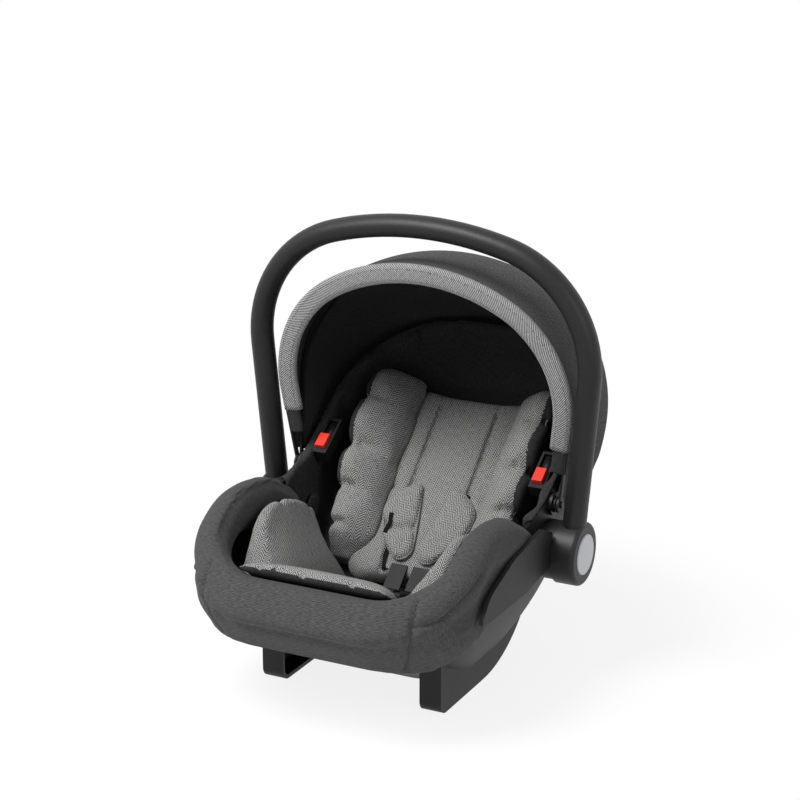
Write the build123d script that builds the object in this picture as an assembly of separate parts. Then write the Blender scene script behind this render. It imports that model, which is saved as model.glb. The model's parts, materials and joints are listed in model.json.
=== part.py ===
"""Infant car seat carrier: moulded shell on rocker runners, turning carry handle, folding canopy,
harness, padded insert and foot cover.  Millimetres, +Z up, foot end towards -Y.

The shape is drawn around the handle's hub axis (y = 0 there) and moved by AXIS_SHIFT and SOLE_LEVEL on
export, so that the origin is on the floor under the middle of the whole seat.
"""
import os
from math import atan2, cos, degrees, pi, radians, sin, sqrt, tan

from build123d import *

os.makedirs("parts", exist_ok=True)

# Frame
HUB_HEIGHT = 165.0          # hub axis, as drawn
SOLE_LEVEL = 10.0           # floor, as drawn
AXIS_SHIFT = 21.7           # hub axis behind the middle of the overall length

# Shell
RIM_HALF_WIDTH = 170.0
FOOT_REACH = 305.0          # foot wall in front of the hub axis
HEAD_REACH = 226.0          # head wall behind the hub axis
WALL = 4.0
SHELL_FLOOR = 30.0          # underside of the tub above the floor
# height, then how far the foot, head and side walls draw in, then foot and head corner radii
TUB_SLICES = (
    (SHELL_FLOOR, 160.0, 216.0, 58.0, 55.0, 55.0),
    (60.0, 114.0, 161.0, 38.0, 70.0, 80.0),
    (100.0, 60.0, 116.0, 20.0, 85.0, 95.0),
    (150.0, 22.0, 76.0, 6.0, 98.0, 110.0),
    (215.0, 0.0, 43.0, 0.0, 105.0, 118.0),
    (290.0, -7.0, 20.0, 1.0, 105.0, 122.0),
    (390.0, -10.0, 0.0, 5.0, 105.0, 125.0),
)
# side view of the rim, distance behind the hub axis and height
RIM_LINE = (
    (-360.0, 150.0),
    (-300.0, 166.0),
    (-230.0, 190.0),
    (-150.0, 208.0),
    (-60.0, 212.0),
    (10.0, 234.0),
    (60.0, 268.0),
    (120.0, 310.0),
    (180.0, 345.0),
    (260.0, 380.0),
)

# Rocker runners and the heel ribs between them
RUNNER_OUTER = 120.0        # outer face from the middle
RUNNER_THICK = 28.0
RUNNER_WALL = 5.0
RUNNER_FRONT = 188.0        # front end before the hub axis
RUNNER_FLAT_END = 70.0      # flat sole ends this far before the hub axis
RUNNER_SWEEP = 165.0        # radius of the rise behind the flat sole
RUNNER_CLIMB = 50.0         # angle of that rise
RUNNER_TOE = 14.0
RUNNER_ROOT = 110.0         # height at which the runners are buried in the tub
HEEL_INNER = 58.0
HEEL_THICK = 12.0
HEEL_FRONT = 40.0
HEEL_REAR = 52.0
HEEL_ROOT = 80.0

# Fits
GAP = 0.4                   # between pieces that move past each other
SEAT_GAP = 0.3              # between pieces that lie on each other
RUNNING_FIT = 0.05          # radial, pins in their bores

# Handle hubs
HUB_FACE = RIM_HALF_WIDTH + 20.0   # outer face of the fixed hub base from the middle
HUB_END = HUB_FACE + 30.0   # outer end of the handle's barrel
HUB_BASE_RADIUS = 36.0
BARREL_RADIUS = 39.0
BARREL_ROUND = 5.0
PIN_RADIUS = 5.0
PIN_HEAD_RADIUS = 9.0
PIN_HEAD = 4.0
GEAR_TIP = 27.0
GEAR_ROOT = 23.0
GEAR_TEETH = 16
GEAR_THICK = 11.0
GEAR_BITE = 5.0             # depth of the gear in the handle
BUTTON_TRAVEL = 6.0
BUTTON_RADIUS = 25.0
BUTTON_THICK = 8.0
BUTTON_PROUD = 1.5
LEG_RADIUS = 3.0            # button legs that reach the gear
LEG_CIRCLE = 14.0
WEB = 4.0                   # wall across the barrel that runs on the pin
SPRING_WALL = 2.0
SPRING_SHUT = 4.4           # length of the pressed spring
SPRING_RADIUS = 9.0

# Handle
HANDLE_BASE = HUB_FACE + 12.5   # leg's middle line at the hub
HANDLE_SPLAY = 5.0
HANDLE_LEG = 213.0
HANDLE_CORNER = 145.0
HANDLE_TOP = 430.0
HANDLE_TILT = 1.0           # forward, as photographed
GRIP_ACROSS = 28.0
GRIP_ALONG = 33.0
GRIP_WALL = 3.0

# Belt guide arms beside the foot cover
ARM_INNER = HUB_FACE - 5.0
ARM_TIP = 232.0             # tip before the hub axis
ARM_HEEL = 30.0
ARM_LOW = 148.0
ARM_HIGH = 212.0

# Canopy
CANOPY_Y = 12.0
CANOPY_Z = 218.0
CANOPY_BASE = RIM_HALF_WIDTH + 11.0
CANOPY_SPLAY = 8.0
CANOPY_LEG = 100.0
CANOPY_CORNER = 150.0
CANOPY_TOP = 244.0
CANOPY_TILT = 6.0           # front bow, forward of upright
CANOPY_STEP = 26.0          # angle covered by one panel
CANOPY_OVERLAP = 2.0
CLOTH = 2.5                 # canopy cloth, doubled and hemmed
CLOTH_GAP = 1.8
PANEL_START = 60.0          # panels start this far up the bows
BAND_WIDTH = 11.0
BAND_OUT = 3.5              # band outside and inside the bow's middle line
BAND_IN = 22.0
BAND_START = 72.0
BOW_WIDTH = 7.0
CLIP_RADIUS = 14.0
CLIP_PIN = 4.0
EYE_RADIUS = 10.0
EYE_THICK = 2.6

# Padding
SEAT_LOW_Y = -58.0          # crease of the foam seat
SEAT_LOW_Z = 50.0
BACK_ANGLE = 43.0
SEAT_ANGLE = 21.0
CREASE_RADIUS = 80.0
LINER = 5.0
LINER_FRONT_TOP = 120.0     # under the foot cover's roll
FOAM_THICK = 32.0
FOAM_BELOW_RIM = 20.0
RIM_CAP = 4.5
RIM_CAP_OUT = 2.0
RIM_CAP_FRONT = -52.0       # the foot cover takes over in front of this
ROLL_RADIUS = 26.0
ROLL_INSET = 12.0           # middle of the roll inside the rim
ROLL_CORNER = 88.0
ROLL_BEND = 60.0
ROLL_CREST_BEND = 40.0
ROLL_FRONT = 284.0
ROLL_FRONT_Z = 156.0
ROLL_CREST = 190.0
ROLL_CREST_Z = 217.0
ROLL_REAR = 100.0
ROLL_REAR_Z = 205.0
ROLL_END = 56.0
ROLL_END_Z = 178.0
# skirt of the foot cover: height, foot wall before the hub axis, half width, corner radius
COVER_SLICES = (
    (40.0, 262.0, -14.0, 80.0),
    (64.0, 274.0, -6.0, 90.0),
    (100.0, 287.0, 3.0, 98.0),
    (150.0, 299.0, 8.0, 104.0),
    (215.0, 304.0, 10.0, 108.0),
    (290.0, 306.0, 10.0, 110.0),
)
COVER_HEM = 97.0
COVER_REAR = 70.0
HEM_FRONT = 262.0
HEM_REAR = 155.0
HEM_HIGH = 146.0

BACK_PAD_HALF = 96.0
BACK_PAD_START = 46.0
BACK_PAD_LENGTH = 282.0
PAD_THICK = 26.0
PAD_DRAW = 5.0              # how far the sides draw in between the corners
PAD_CORNER = 28.0
CHANNEL_X = 40.0
CHANNEL_RADIUS = 5.0
SEAT_PAD_HALF = 96.0
SEAT_PAD_START = 52.0
SEAT_PAD_BEND = 205.0       # where the seat pad turns up to its lip over the roll
WING_INNER = 99.0
WING_FOOT_OUTER = 124.0
WING_FULL = 84.0            # height at which a wing has its full lean
# distance along the foam and height of each wing, with the tufts between its lobes
BACK_WING = (
    (66.0, 28.0),
    (88.0, 54.0),
    (112.0, 66.0),
    (142.0, 70.0),
    (172.0, 84.0),
    (206.0, 80.0),
    (240.0, 94.0),
    (274.0, 86.0),
    (304.0, 84.0),
    (324.0, 68.0),
    (334.0, 40.0),
)
BACK_WING_TOP = (113.0, 131.0)
WING_LAP = 72.0             # inner edge of a back wing where it lies on the back pad
WING_LAP_LEVEL = 26.8
LEG_WING = (
    (22.0, 108.0),
    (42.0, 126.0),
    (72.0, 135.0),
    (106.0, 136.0),
    (140.0, 130.0),
    (164.0, 116.0),
    (182.0, 86.0),
    (194.0, 44.0),
)
LEG_WING_TOP = (114.0, 131.0)

# Harness
STRAP_WIDTH = 38.0
STRAP_THICK = 1.6
STRAP_SLOT_X = 48.0
STRAP_SLOT_S = 178.0
STRAP_LOW_X = 20.0
STRAP_LOW_S = 64.0
SLOT_HEIGHT = 7.0
SHOULDER_PAD_THICK = 13.0
# leaf outline of a shoulder pad, from the middle and along the back
LEAF = ((22.0, 191.0), (66.0, 154.0), (54.0, 104.0), (18.0, 66.0), (2.0, 86.0))
LEAF_ROUNDS = (9.0, 30.0, 40.0, 14.0, 16.0)
BUCKLE_WIDTH = 46.0
BUCKLE_LENGTH = 54.0
BUCKLE_THICK = 18.0
BUCKLE_S = 8.0
BUCKLE_BUTTON = 18.0
BUCKLE_TRAVEL = 4.0
CROTCH_S = 78.0
TONGUE_MIDDLE = 48.0
TONGUE_LENGTH = 44.0

# Hook on the back
HOOK_REACH = 220.0
HOOK_LOW = 228.0
HOOK_HEIGHT = 44.0
HOOK_THICK = 8.0
HOOK_HALF = 34.0

# Release triggers
TRIGGER_Y = 34.0
TRIGGER_X = RIM_HALF_WIDTH - 20.0
TRIGGER_Z = 250.0
TRIGGER_SLOPE = 34.0
HOUSING_WIDTH = 20.0
HOUSING_LENGTH = 58.0
HOUSING_DEPTH = 18.0
HOUSING_PROUD = 3.0
HOUSING_FLOOR = 3.0
TRIGGER_WIDTH = 13.0
TRIGGER_LENGTH = 20.0
TRIGGER_PROUD = 6.0
TRIGGER_TRAVEL = 14.0
SLOT_SPARE = 12.0           # spring room at the upper end of the slot

FAR = 700.0                 # longer than the seat, for cutting tools
SIDES = (("left", -1), ("right", 1))


def save(name, shape):
    export_step(Pos(0, AXIS_SHIFT, -SOLE_LEVEL) * shape, f"parts/{name}.step")


def rod(radius, start, end, y=0.0, z=HUB_HEIGHT):
    """Round bar along X on the +X side."""
    return Pos((start + end) / 2, y, z) * Rot(0, 90, 0) * Cylinder(radius, end - start)


def on_side(shape, sign):
    """A piece drawn on the +X side, or its mirror image."""
    return shape if sign > 0 else mirror(shape, Plane.YZ)


def side_prism(points, radii, start, end):
    """Prism along X of a side outline given as (y, z) points with rounded corners."""
    outline = FilletPolyline(*points, radius=radii, close=True)
    face = Plane.YZ * make_face(outline)
    return Pos(start, 0, 0) * extrude(face, end - start, dir=(1, 0, 0))


def tub(grow):
    """Solid of the tub, its walls moved outwards by grow."""
    wires = []
    for height, foot, head, side, foot_r, head_r in TUB_SLICES:
        half = RIM_HALF_WIDTH - side + grow
        front = -(FOOT_REACH - foot + grow)
        rear = HEAD_REACH - head + grow
        level = height - grow if height == SHELL_FLOOR else height
        corners = ((half, front), (half, rear), (-half, rear), (-half, front))
        radii = (foot_r + grow, head_r + grow, head_r + grow, foot_r + grow)
        outline = FilletPolyline(*corners, radius=radii, close=True)
        wires.append(Pos(0, 0, level) * Wire(outline.edges()))
    return Solid.make_loft(wires)


def above_rim(lift):
    """Everything above the rim line moved up by lift."""
    points = [(y, z + lift) for y, z in RIM_LINE]
    curve = Spline(*points)
    lid = Polyline(points[-1], (FAR, FAR), (-FAR, FAR), points[0])
    face = Plane.YZ * make_face(Curve() + [curve, lid])
    return extrude(face, FAR, both=True)


def arch_face(base, splay, leg, corner, top, inner, outer, start):
    """Strip of an arch in the XZ plane between two offsets from its middle line."""
    lean = radians(splay)
    along = Vector(sin(lean), cos(lean))
    out = Vector(cos(lean), -sin(lean))
    knee = Vector(base, 0) + along * leg
    centre = knee - out * corner
    crown = centre.Y - sqrt((top - corner) ** 2 - centre.X ** 2)
    turn = atan2(centre.Y - crown, centre.X)
    middle = (turn - lean) / 2

    def half(offset):
        foot = Vector(base, 0) + along * start + out * offset
        shoulder = knee + out * offset
        mid = centre + Vector(cos(middle), sin(middle)) * (corner + offset)
        join = centre + Vector(cos(turn), sin(turn)) * (corner + offset)
        return foot, shoulder, mid, join, Vector(0, crown + top + offset)

    edges = []
    for offset in (inner, outer):
        foot, shoulder, mid, join, apex = half(offset)
        left = [Vector(-p.X, p.Y) for p in (foot, shoulder, mid, join)]
        edges += [Line(foot, shoulder), ThreePointArc(shoulder, mid, join)]
        edges += [ThreePointArc(join, apex, left[3])]
        edges += [ThreePointArc(left[3], left[2], left[1]), Line(left[1], left[0])]
    low, high = half(inner)[0], half(outer)[0]
    for flip in (1, -1):
        edges += [Line(Vector(flip * low.X, low.Y), Vector(flip * high.X, high.Y))]
    # Plane.XZ looks along -Y, with X to the right and Z up
    return Plane.XZ * make_face(Curve() + edges)


def handle_path():
    """Middle line of the carry handle, upright, from the right hub to the left."""
    lean = radians(HANDLE_SPLAY)
    along = Vector(sin(lean), 0, cos(lean))
    out = Vector(cos(lean), 0, -sin(lean))
    foot = Vector(HANDLE_BASE, 0, 0)
    knee = foot + along * HANDLE_LEG
    centre = knee - out * HANDLE_CORNER
    crown = centre.Z - sqrt((HANDLE_TOP - HANDLE_CORNER) ** 2 - centre.X ** 2)
    turn = atan2(centre.Z - crown, centre.X)
    middle = (turn - lean) / 2
    mid = centre + Vector(cos(middle), 0, sin(middle)) * HANDLE_CORNER
    join = centre + Vector(cos(turn), 0, sin(turn)) * HANDLE_CORNER
    left = [Vector(-p.X, 0, p.Z) for p in (foot, knee, mid, join)]
    edges = [Line(foot, knee), ThreePointArc(knee, mid, join)]
    edges += [ThreePointArc(join, Vector(0, 0, crown + HANDLE_TOP), left[3])]
    edges += [ThreePointArc(left[3], left[2], left[1]), Line(left[1], left[0])]
    return Wire([edge.edge() for edge in edges])


def star(tip, root, count):
    """Gear outline with straight-sided teeth."""
    points = []
    pitch = 2 * pi / count
    for index in range(count):
        for radius, share in ((root, -0.32), (tip, -0.16), (tip, 0.16), (root, 0.32)):
            angle = pitch * (index + share)
            points.append((radius * cos(angle), radius * sin(angle)))
    return make_face(Polyline(*points, close=True))


def hub_disc(face, start, end):
    """Prism along X of a face drawn around the hub axis, on the +X side."""
    return extrude(Plane((start, 0, HUB_HEIGHT), x_dir=(0, 1, 0), z_dir=(1, 0, 0)) * face, end - start)


# Shell with runners

def runner():
    def sweep_point(angle):
        rise = RUNNER_SWEEP * (1 - cos(radians(angle)))
        return -RUNNER_FLAT_END + RUNNER_SWEEP * sin(radians(angle)), SOLE_LEVEL + rise

    rear = sweep_point(RUNNER_CLIMB)
    middle = sweep_point(RUNNER_CLIMB / 2)
    sole = (-RUNNER_FLAT_END, SOLE_LEVEL)
    toe = (-RUNNER_FRONT + RUNNER_TOE, SOLE_LEVEL)
    front = (-RUNNER_FRONT, SOLE_LEVEL + RUNNER_TOE)
    edges = [
        RadiusArc(front, toe, -RUNNER_TOE),
        Line(toe, sole),
        ThreePointArc(sole, middle, rear),
        Polyline(rear, (rear[0], RUNNER_ROOT), (front[0], RUNNER_ROOT), front),
    ]
    face = make_face(Curve() + edges)
    inner = RUNNER_OUTER - RUNNER_THICK
    solid = extrude(Plane.YZ * face, RUNNER_OUTER, dir=(1, 0, 0)) - Box(2 * inner, FAR * 2, FAR)
    hollow = extrude(Plane.YZ * offset(face, -RUNNER_WALL), RUNNER_OUTER - RUNNER_WALL, dir=(1, 0, 0))
    return solid - hollow


def heel():
    points = (
        (-HEEL_FRONT, SOLE_LEVEL),
        (HEEL_REAR, SOLE_LEVEL),
        (HEEL_REAR + 12.0, SOLE_LEVEL + 12.0),
        (HEEL_REAR, HEEL_ROOT),
        (-HEEL_FRONT, HEEL_ROOT),
    )
    return side_prism(points, (4.0, 8.0, 8.0, 4.0, 4.0), HEEL_INNER, HEEL_INNER + HEEL_THICK)


inside = tub(-WALL)
lid = above_rim(0.0)
shell = Part() + tub(0.0)
for _, sign in SIDES:
    shell += on_side(runner(), sign)
    shell += on_side(heel(), sign)
shell -= inside
shell -= lid
pin_hole = rod(PIN_RADIUS + RUNNING_FIT, RIM_HALF_WIDTH - 40.0, RIM_HALF_WIDTH + 20.0)
clip_hole = rod(CLIP_PIN + RUNNING_FIT, RIM_HALF_WIDTH - 40.0, RIM_HALF_WIDTH + 20.0, CANOPY_Y, CANOPY_Z)
for _, sign in SIDES:
    shell -= on_side(pin_hole, sign)
    shell -= on_side(clip_hole, sign)
save("carrier_shell", shell)

# Hub bases, pins, lock gears, buttons
clear_of_shell = tub(SEAT_GAP)
gear_start = HUB_FACE + GEAR_BITE + GAP - GEAR_THICK
recess_floor = gear_start - BUTTON_TRAVEL - SPRING_SHUT
web_start = HUB_FACE + GEAR_BITE + 3 * GAP
pin_inner = RIM_HALF_WIDTH - 13.0
pin_end = web_start + WEB + GAP

base = rod(HUB_BASE_RADIUS, RIM_HALF_WIDTH - 20.0, HUB_FACE)
base -= clear_of_shell
base -= rod(GEAR_TIP + 2 * GAP, recess_floor, HUB_FACE + 1.0)
base -= rod(PIN_RADIUS + RUNNING_FIT, RIM_HALF_WIDTH - 30.0, HUB_FACE)

pin = rod(PIN_RADIUS, pin_inner, pin_end)
pin += rod(PIN_HEAD_RADIUS, pin_inner - PIN_HEAD, pin_inner)
pin += rod(PIN_HEAD_RADIUS, pin_end, pin_end + PIN_HEAD)

gear = hub_disc(star(GEAR_TIP, GEAR_ROOT, GEAR_TEETH), gear_start, gear_start + GEAR_THICK)
gear -= rod(PIN_RADIUS + 1.0, gear_start - 1.0, gear_start + GEAR_THICK + 1.0)

spring = rod(SPRING_RADIUS, recess_floor + SEAT_GAP, gear_start - SEAT_GAP)
spring -= rod(SPRING_RADIUS - SPRING_WALL, recess_floor, gear_start)

button_end = HUB_END + BUTTON_PROUD
button = rod(BUTTON_RADIUS, button_end - BUTTON_THICK, button_end)
button = fillet(button.edges().group_by(Axis.X)[-1], 2.0)
leg_spots = [
    (LEG_CIRCLE * cos(radians(turn)), LEG_CIRCLE * sin(radians(turn))) for turn in (90, 210, 330)
]
for spot_y, spot_z in leg_spots:
    button += rod(LEG_RADIUS, gear_start + GEAR_THICK, button_end - 1.0, spot_y, HUB_HEIGHT + spot_z)

for side, sign in SIDES:
    save(f"hub_base_{side}", on_side(base, sign))
    save(f"pivot_pin_{side}", on_side(pin, sign))
    save(f"lock_gear_{side}", on_side(gear, sign))
    save(f"gear_spring_{side}", on_side(spring, sign))
    save(f"handle_button_{side}", on_side(button, sign))

# Carry handle with its barrels
path = handle_path()
grip_plane = Plane(origin=path @ 0, x_dir=(0, 1, 0), z_dir=path % 0)
bar = sweep(grip_plane * Ellipse(GRIP_ALONG / 2, GRIP_ACROSS / 2), path=path)
bar -= sweep(grip_plane * Ellipse(GRIP_ALONG / 2 - GRIP_WALL, GRIP_ACROSS / 2 - GRIP_WALL), path=path)
bar = Pos(0, 0, HUB_HEIGHT) * Rot(HANDLE_TILT, 0, 0) * bar
barrel = rod(BARREL_RADIUS, HUB_FACE + GAP, HUB_END)
barrel = fillet(barrel.edges().group_by(Axis.X)[-1], BARREL_ROUND)
handle = Part() + bar
gear_socket = hub_disc(star(GEAR_TIP + GAP, GEAR_ROOT + GAP, GEAR_TEETH), HUB_FACE, web_start)
for _, sign in SIDES:
    handle += on_side(barrel, sign)
for _, sign in SIDES:
    handle -= on_side(rod(2 * BARREL_RADIUS, RIM_HALF_WIDTH - 20.0, HUB_FACE + GAP), sign)
    handle -= on_side(gear_socket, sign)
    handle -= on_side(rod(BUTTON_RADIUS + GAP, web_start + WEB, HUB_END + 2 * GRIP_ALONG), sign)
    handle -= on_side(rod(PIN_RADIUS + RUNNING_FIT, HUB_FACE, HUB_END), sign)
    for spot_y, spot_z in leg_spots:
        hole = rod(LEG_RADIUS + GAP, HUB_FACE, HUB_END, spot_y, HUB_HEIGHT + spot_z)
        handle -= on_side(hole, sign)
save("handle_bar", handle)

# Belt guide arms: crescent blades from the hubs forward along the foot cover
arm_outline = (
    (-ARM_HEEL, ARM_LOW + 10.0),
    (-110.0, ARM_LOW),
    (-ARM_TIP, ARM_LOW + 2.0),
    (-205.0, ARM_LOW + 32.0),
    (-140.0, ARM_HIGH - 10.0),
    (-ARM_HEEL - 30.0, ARM_HIGH),
    (-ARM_HEEL, ARM_HIGH - 14.0),
)
arm = side_prism(arm_outline, (4.0, 60.0, 5.0, 40.0, 70.0, 16.0, 4.0), ARM_INNER, HUB_FACE)
arm -= rod(HUB_BASE_RADIUS, ARM_INNER - 1.0, HUB_FACE + 1.0)
# stand-off that carries the arm on the shell, behind the end of the foot cover
post = side_prism(
    ((-62.0, ARM_LOW + 14.0), (-40.0, ARM_LOW + 14.0), (-40.0, ARM_LOW + 36.0), (-62.0, ARM_LOW + 36.0)),
    3.0,
    RIM_HALF_WIDTH - 20.0,
    ARM_INNER,
)
post_room = post
post = post - clear_of_shell
post -= rod(HUB_BASE_RADIUS, RIM_HALF_WIDTH - 40.0, HUB_FACE + 1.0)
for side, sign in SIDES:
    save(f"belt_guide_{side}", on_side(arm + post, sign))

# Canopy clips, bows, edge band and panels
canopy_axis = Axis((0, CANOPY_Y, CANOPY_Z), (-1, 0, 0))


def tilted(shape, angle):
    """Canopy piece drawn upright at the origin, leant forward by angle about its pivot."""
    return Pos(0, CANOPY_Y, CANOPY_Z) * Rot(angle, 0, 0) * shape


def canopy_strip(inner, outer, start):
    return arch_face(
        CANOPY_BASE, CANOPY_SPLAY, CANOPY_LEG, CANOPY_CORNER, CANOPY_TOP, inner, outer, start
    )


def canopy_bow(inner, outer, width, start, angle):
    return tilted(extrude(canopy_strip(inner, outer, start), width / 2, both=True), angle)


def canopy_panel(inner, outer, start, first, last):
    """Cloth between two lean angles, swept backwards from the first."""
    face = tilted(canopy_strip(inner, outer, start), first)
    return revolve(face, axis=canopy_axis, revolution_arc=first - last)


def eye(x):
    ring = rod(EYE_RADIUS, x - EYE_THICK / 2, x + EYE_THICK / 2, CANOPY_Y, CANOPY_Z)
    return ring - rod(CLIP_PIN + RUNNING_FIT, x - EYE_THICK, x + EYE_THICK, CANOPY_Y, CANOPY_Z)


front_in = -CLOTH / 2
mid_out = front_in - CLOTH_GAP
mid_in = mid_out - CLOTH
rear_out = mid_in - CLOTH_GAP
rear_in = rear_out - CLOTH
mid_angle = CANOPY_TILT - CANOPY_STEP + CANOPY_OVERLAP
rear_angle = mid_angle - CANOPY_STEP + CANOPY_OVERLAP
clip_face = CANOPY_BASE + mid_in - GAP

clip = rod(CLIP_RADIUS, RIM_HALF_WIDTH - 20.0, clip_face, CANOPY_Y, CANOPY_Z)
clip -= clear_of_shell
clip += rod(CLIP_PIN, RIM_HALF_WIDTH - WALL / 2, CANOPY_BASE + BAND_OUT + GAP, CANOPY_Y, CANOPY_Z)
for side, sign in SIDES:
    save(f"canopy_clip_{side}", on_side(clip, sign))

pivot_clear = Part()
for _, sign in SIDES:
    pivot_clear += on_side(rod(CLIP_PIN + RUNNING_FIT, 0.0, 2 * CANOPY_BASE, CANOPY_Y, CANOPY_Z), sign)

front_bow = canopy_bow(front_in, -front_in, BOW_WIDTH, 0.0, CANOPY_TILT)
mid_bow = canopy_bow(mid_in, mid_out, BOW_WIDTH, 0.0, mid_angle)
for _, sign in SIDES:
    front_bow += on_side(eye(CANOPY_BASE), sign)
    mid_bow += on_side(eye((mid_in + mid_out) / 2 + CANOPY_BASE), sign)
front_bow -= pivot_clear
mid_bow -= pivot_clear
save("canopy_front_bow", front_bow)
save("canopy_mid_bow", mid_bow)

pocket = canopy_bow(front_in - SEAT_GAP, SEAT_GAP - front_in, BOW_WIDTH + 2 * SEAT_GAP, 0.0, CANOPY_TILT)
band = canopy_bow(-BAND_IN, BAND_OUT, BAND_WIDTH, BAND_START, CANOPY_TILT)
band_room = canopy_bow(rear_in, BAND_OUT, BAND_WIDTH + 2 * SEAT_GAP, 0.0, CANOPY_TILT)
save("canopy_edge_band", band - pocket)

front_panel = canopy_panel(front_in, -front_in, PANEL_START, CANOPY_TILT, CANOPY_TILT - CANOPY_STEP)
save("canopy_front_panel", front_panel - band_room)

mid_room = canopy_bow(mid_in - GAP, mid_out + GAP, BOW_WIDTH + 2 * SEAT_GAP, 0.0, mid_angle)
mid_panel = canopy_panel(mid_in, mid_out, PANEL_START, mid_angle, mid_angle - CANOPY_STEP)
save("canopy_mid_panel", mid_panel - mid_room)

rear_panel = canopy_panel(rear_in, rear_out, PANEL_START, rear_angle, rear_angle - CANOPY_STEP)
save("canopy_rear_panel", rear_panel)

# Release triggers on the side rims
housing_plane = Plane(
    origin=(TRIGGER_X, TRIGGER_Y, TRIGGER_Z),
    x_dir=(1, 0, 0),
    z_dir=(0, -sin(radians(TRIGGER_SLOPE)), cos(radians(TRIGGER_SLOPE))),
)
slot_length = TRIGGER_LENGTH + TRIGGER_TRAVEL + SLOT_SPARE


def housing_box(width, length, low, high, along=0.0):
    return housing_plane * Pos(0, along, (low + high) / 2) * Box(width, length, high - low)


trigger_along = -(slot_length - TRIGGER_LENGTH) / 2 + GAP
housing = housing_box(HOUSING_WIDTH, HOUSING_LENGTH, HOUSING_PROUD - HOUSING_DEPTH, HOUSING_PROUD)
housing = fillet(housing.edges().group_by(Axis.Z)[-1], 3.0)
slot_floor = HOUSING_PROUD - HOUSING_DEPTH + HOUSING_FLOOR
housing -= housing_box(TRIGGER_WIDTH + 2 * GAP, slot_length, slot_floor, FAR)
trigger = housing_box(
    TRIGGER_WIDTH,
    TRIGGER_LENGTH,
    slot_floor + GAP,
    HOUSING_PROUD + TRIGGER_PROUD,
    trigger_along,
)
trigger_spring = housing_box(
    TRIGGER_WIDTH - 3.0,
    TRIGGER_TRAVEL + SLOT_SPARE - 4 * GAP,
    slot_floor + 2.0,
    HOUSING_PROUD - 3.0,
    trigger_along + slot_length / 2 - GAP,
)
for side, sign in SIDES:
    save(f"trigger_housing_{side}", on_side(housing, sign))
    save(f"release_trigger_{side}", on_side(trigger, sign))
    save(f"trigger_spring_{side}", on_side(trigger_spring, sign))

# Foam seat inside the tub: a bent slab that carries the padding
back_rise = tan(radians(BACK_ANGLE))
seat_rise = tan(radians(SEAT_ANGLE))


def over_foam(drop):
    """Everything above the foam's seating line moved down by drop."""
    low = SEAT_LOW_Z - drop
    line = FilletPolyline(
        (-FAR, low + seat_rise * (FAR + SEAT_LOW_Y)),
        (SEAT_LOW_Y, low),
        (FAR, low + back_rise * (FAR - SEAT_LOW_Y)),
        radius=CREASE_RADIUS,
    )
    lid = Polyline(line @ 1, (FAR, 2 * FAR), (-FAR, 2 * FAR), line @ 0)
    return extrude(Plane.YZ * make_face(Curve() + [line, lid]), FAR, both=True)


seating = over_foam(0.0)
foam = (Part() + tub(-WALL - SEAT_GAP)) - seating - above_rim(-FOAM_BELOW_RIM)
foam &= over_foam(FOAM_THICK)
save("foam_seat", foam)

# Liner over the walls, rolled over the rim behind the foot cover
liner_inner = tub(-WALL - LINER)
liner = (Part() + tub(-WALL - SEAT_GAP)) - liner_inner - above_rim(SEAT_GAP)
liner &= over_foam(-SEAT_GAP)
cap = (Part() + tub(RIM_CAP_OUT)) - liner_inner - above_rim(RIM_CAP)
cap &= above_rim(SEAT_GAP)
front_block = Pos(0, RIM_CAP_FRONT - FAR, 0) * Box(2 * FAR, 2 * FAR, 4 * FAR)
cap -= front_block
under_roll = Pos(0, 0, 2 * FAR + LINER_FRONT_TOP) * Box(2 * FAR, 4 * FAR, 4 * FAR)
liner = liner + cap - (front_block & under_roll)
housing_room = housing_box(
    HOUSING_WIDTH + 4 * GAP, HOUSING_LENGTH + 4 * GAP, HOUSING_PROUD - HOUSING_DEPTH - 2 * GAP, FAR
)
bolt_room = rod(PIN_HEAD_RADIUS + 1.0, RIM_HALF_WIDTH - 40.0, RIM_HALF_WIDTH)
clip_room = rod(CLIP_RADIUS + 1.0, RIM_HALF_WIDTH - WALL, HUB_END, CANOPY_Y, CANOPY_Z)
for _, sign in SIDES:
    liner -= on_side(housing_room, sign)
    liner -= on_side(bolt_room, sign)
    liner -= on_side(clip_room, sign)
save("seat_liner", liner)

# Foot cover: a stuffed roll over the foot rim and a quilted skirt down to a sloping hem
roll_x = RIM_HALF_WIDTH - ROLL_INSET
roll_points = [
    (roll_x, -ROLL_END, ROLL_END_Z),
    (roll_x, -ROLL_REAR, ROLL_REAR_Z),
    (roll_x, -ROLL_CREST, ROLL_CREST_Z),
    (roll_x, -ROLL_FRONT, ROLL_FRONT_Z),
]
roll_points += [(-x, y, z) for x, y, z in reversed(roll_points)]
roll_bends = (ROLL_BEND, ROLL_CREST_BEND, ROLL_CORNER)
roll_path = FilletPolyline(*roll_points, radius=roll_bends + roll_bends[::-1])
roll_start = Plane(origin=roll_path @ 0, z_dir=roll_path % 0)
roll = sweep(roll_start * Circle(ROLL_RADIUS), path=roll_path)
roll_room = sweep(roll_start * Circle(ROLL_RADIUS + SEAT_GAP), path=roll_path)
skirt_wires = []
for height, front, swell, corner in COVER_SLICES:
    half = RIM_HALF_WIDTH + swell
    corners = ((half, -front), (half, COVER_REAR), (-half, COVER_REAR), (-half, -front))
    outline = FilletPolyline(*corners, radius=(corner, COVER_REAR, COVER_REAR, corner), close=True)
    skirt_wires.append(Pos(0, 0, height) * Wire(outline.edges()))
skirt = (Part() + Solid.make_loft(skirt_wires)) - tub(SEAT_GAP) - above_rim(-SEAT_GAP)
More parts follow.
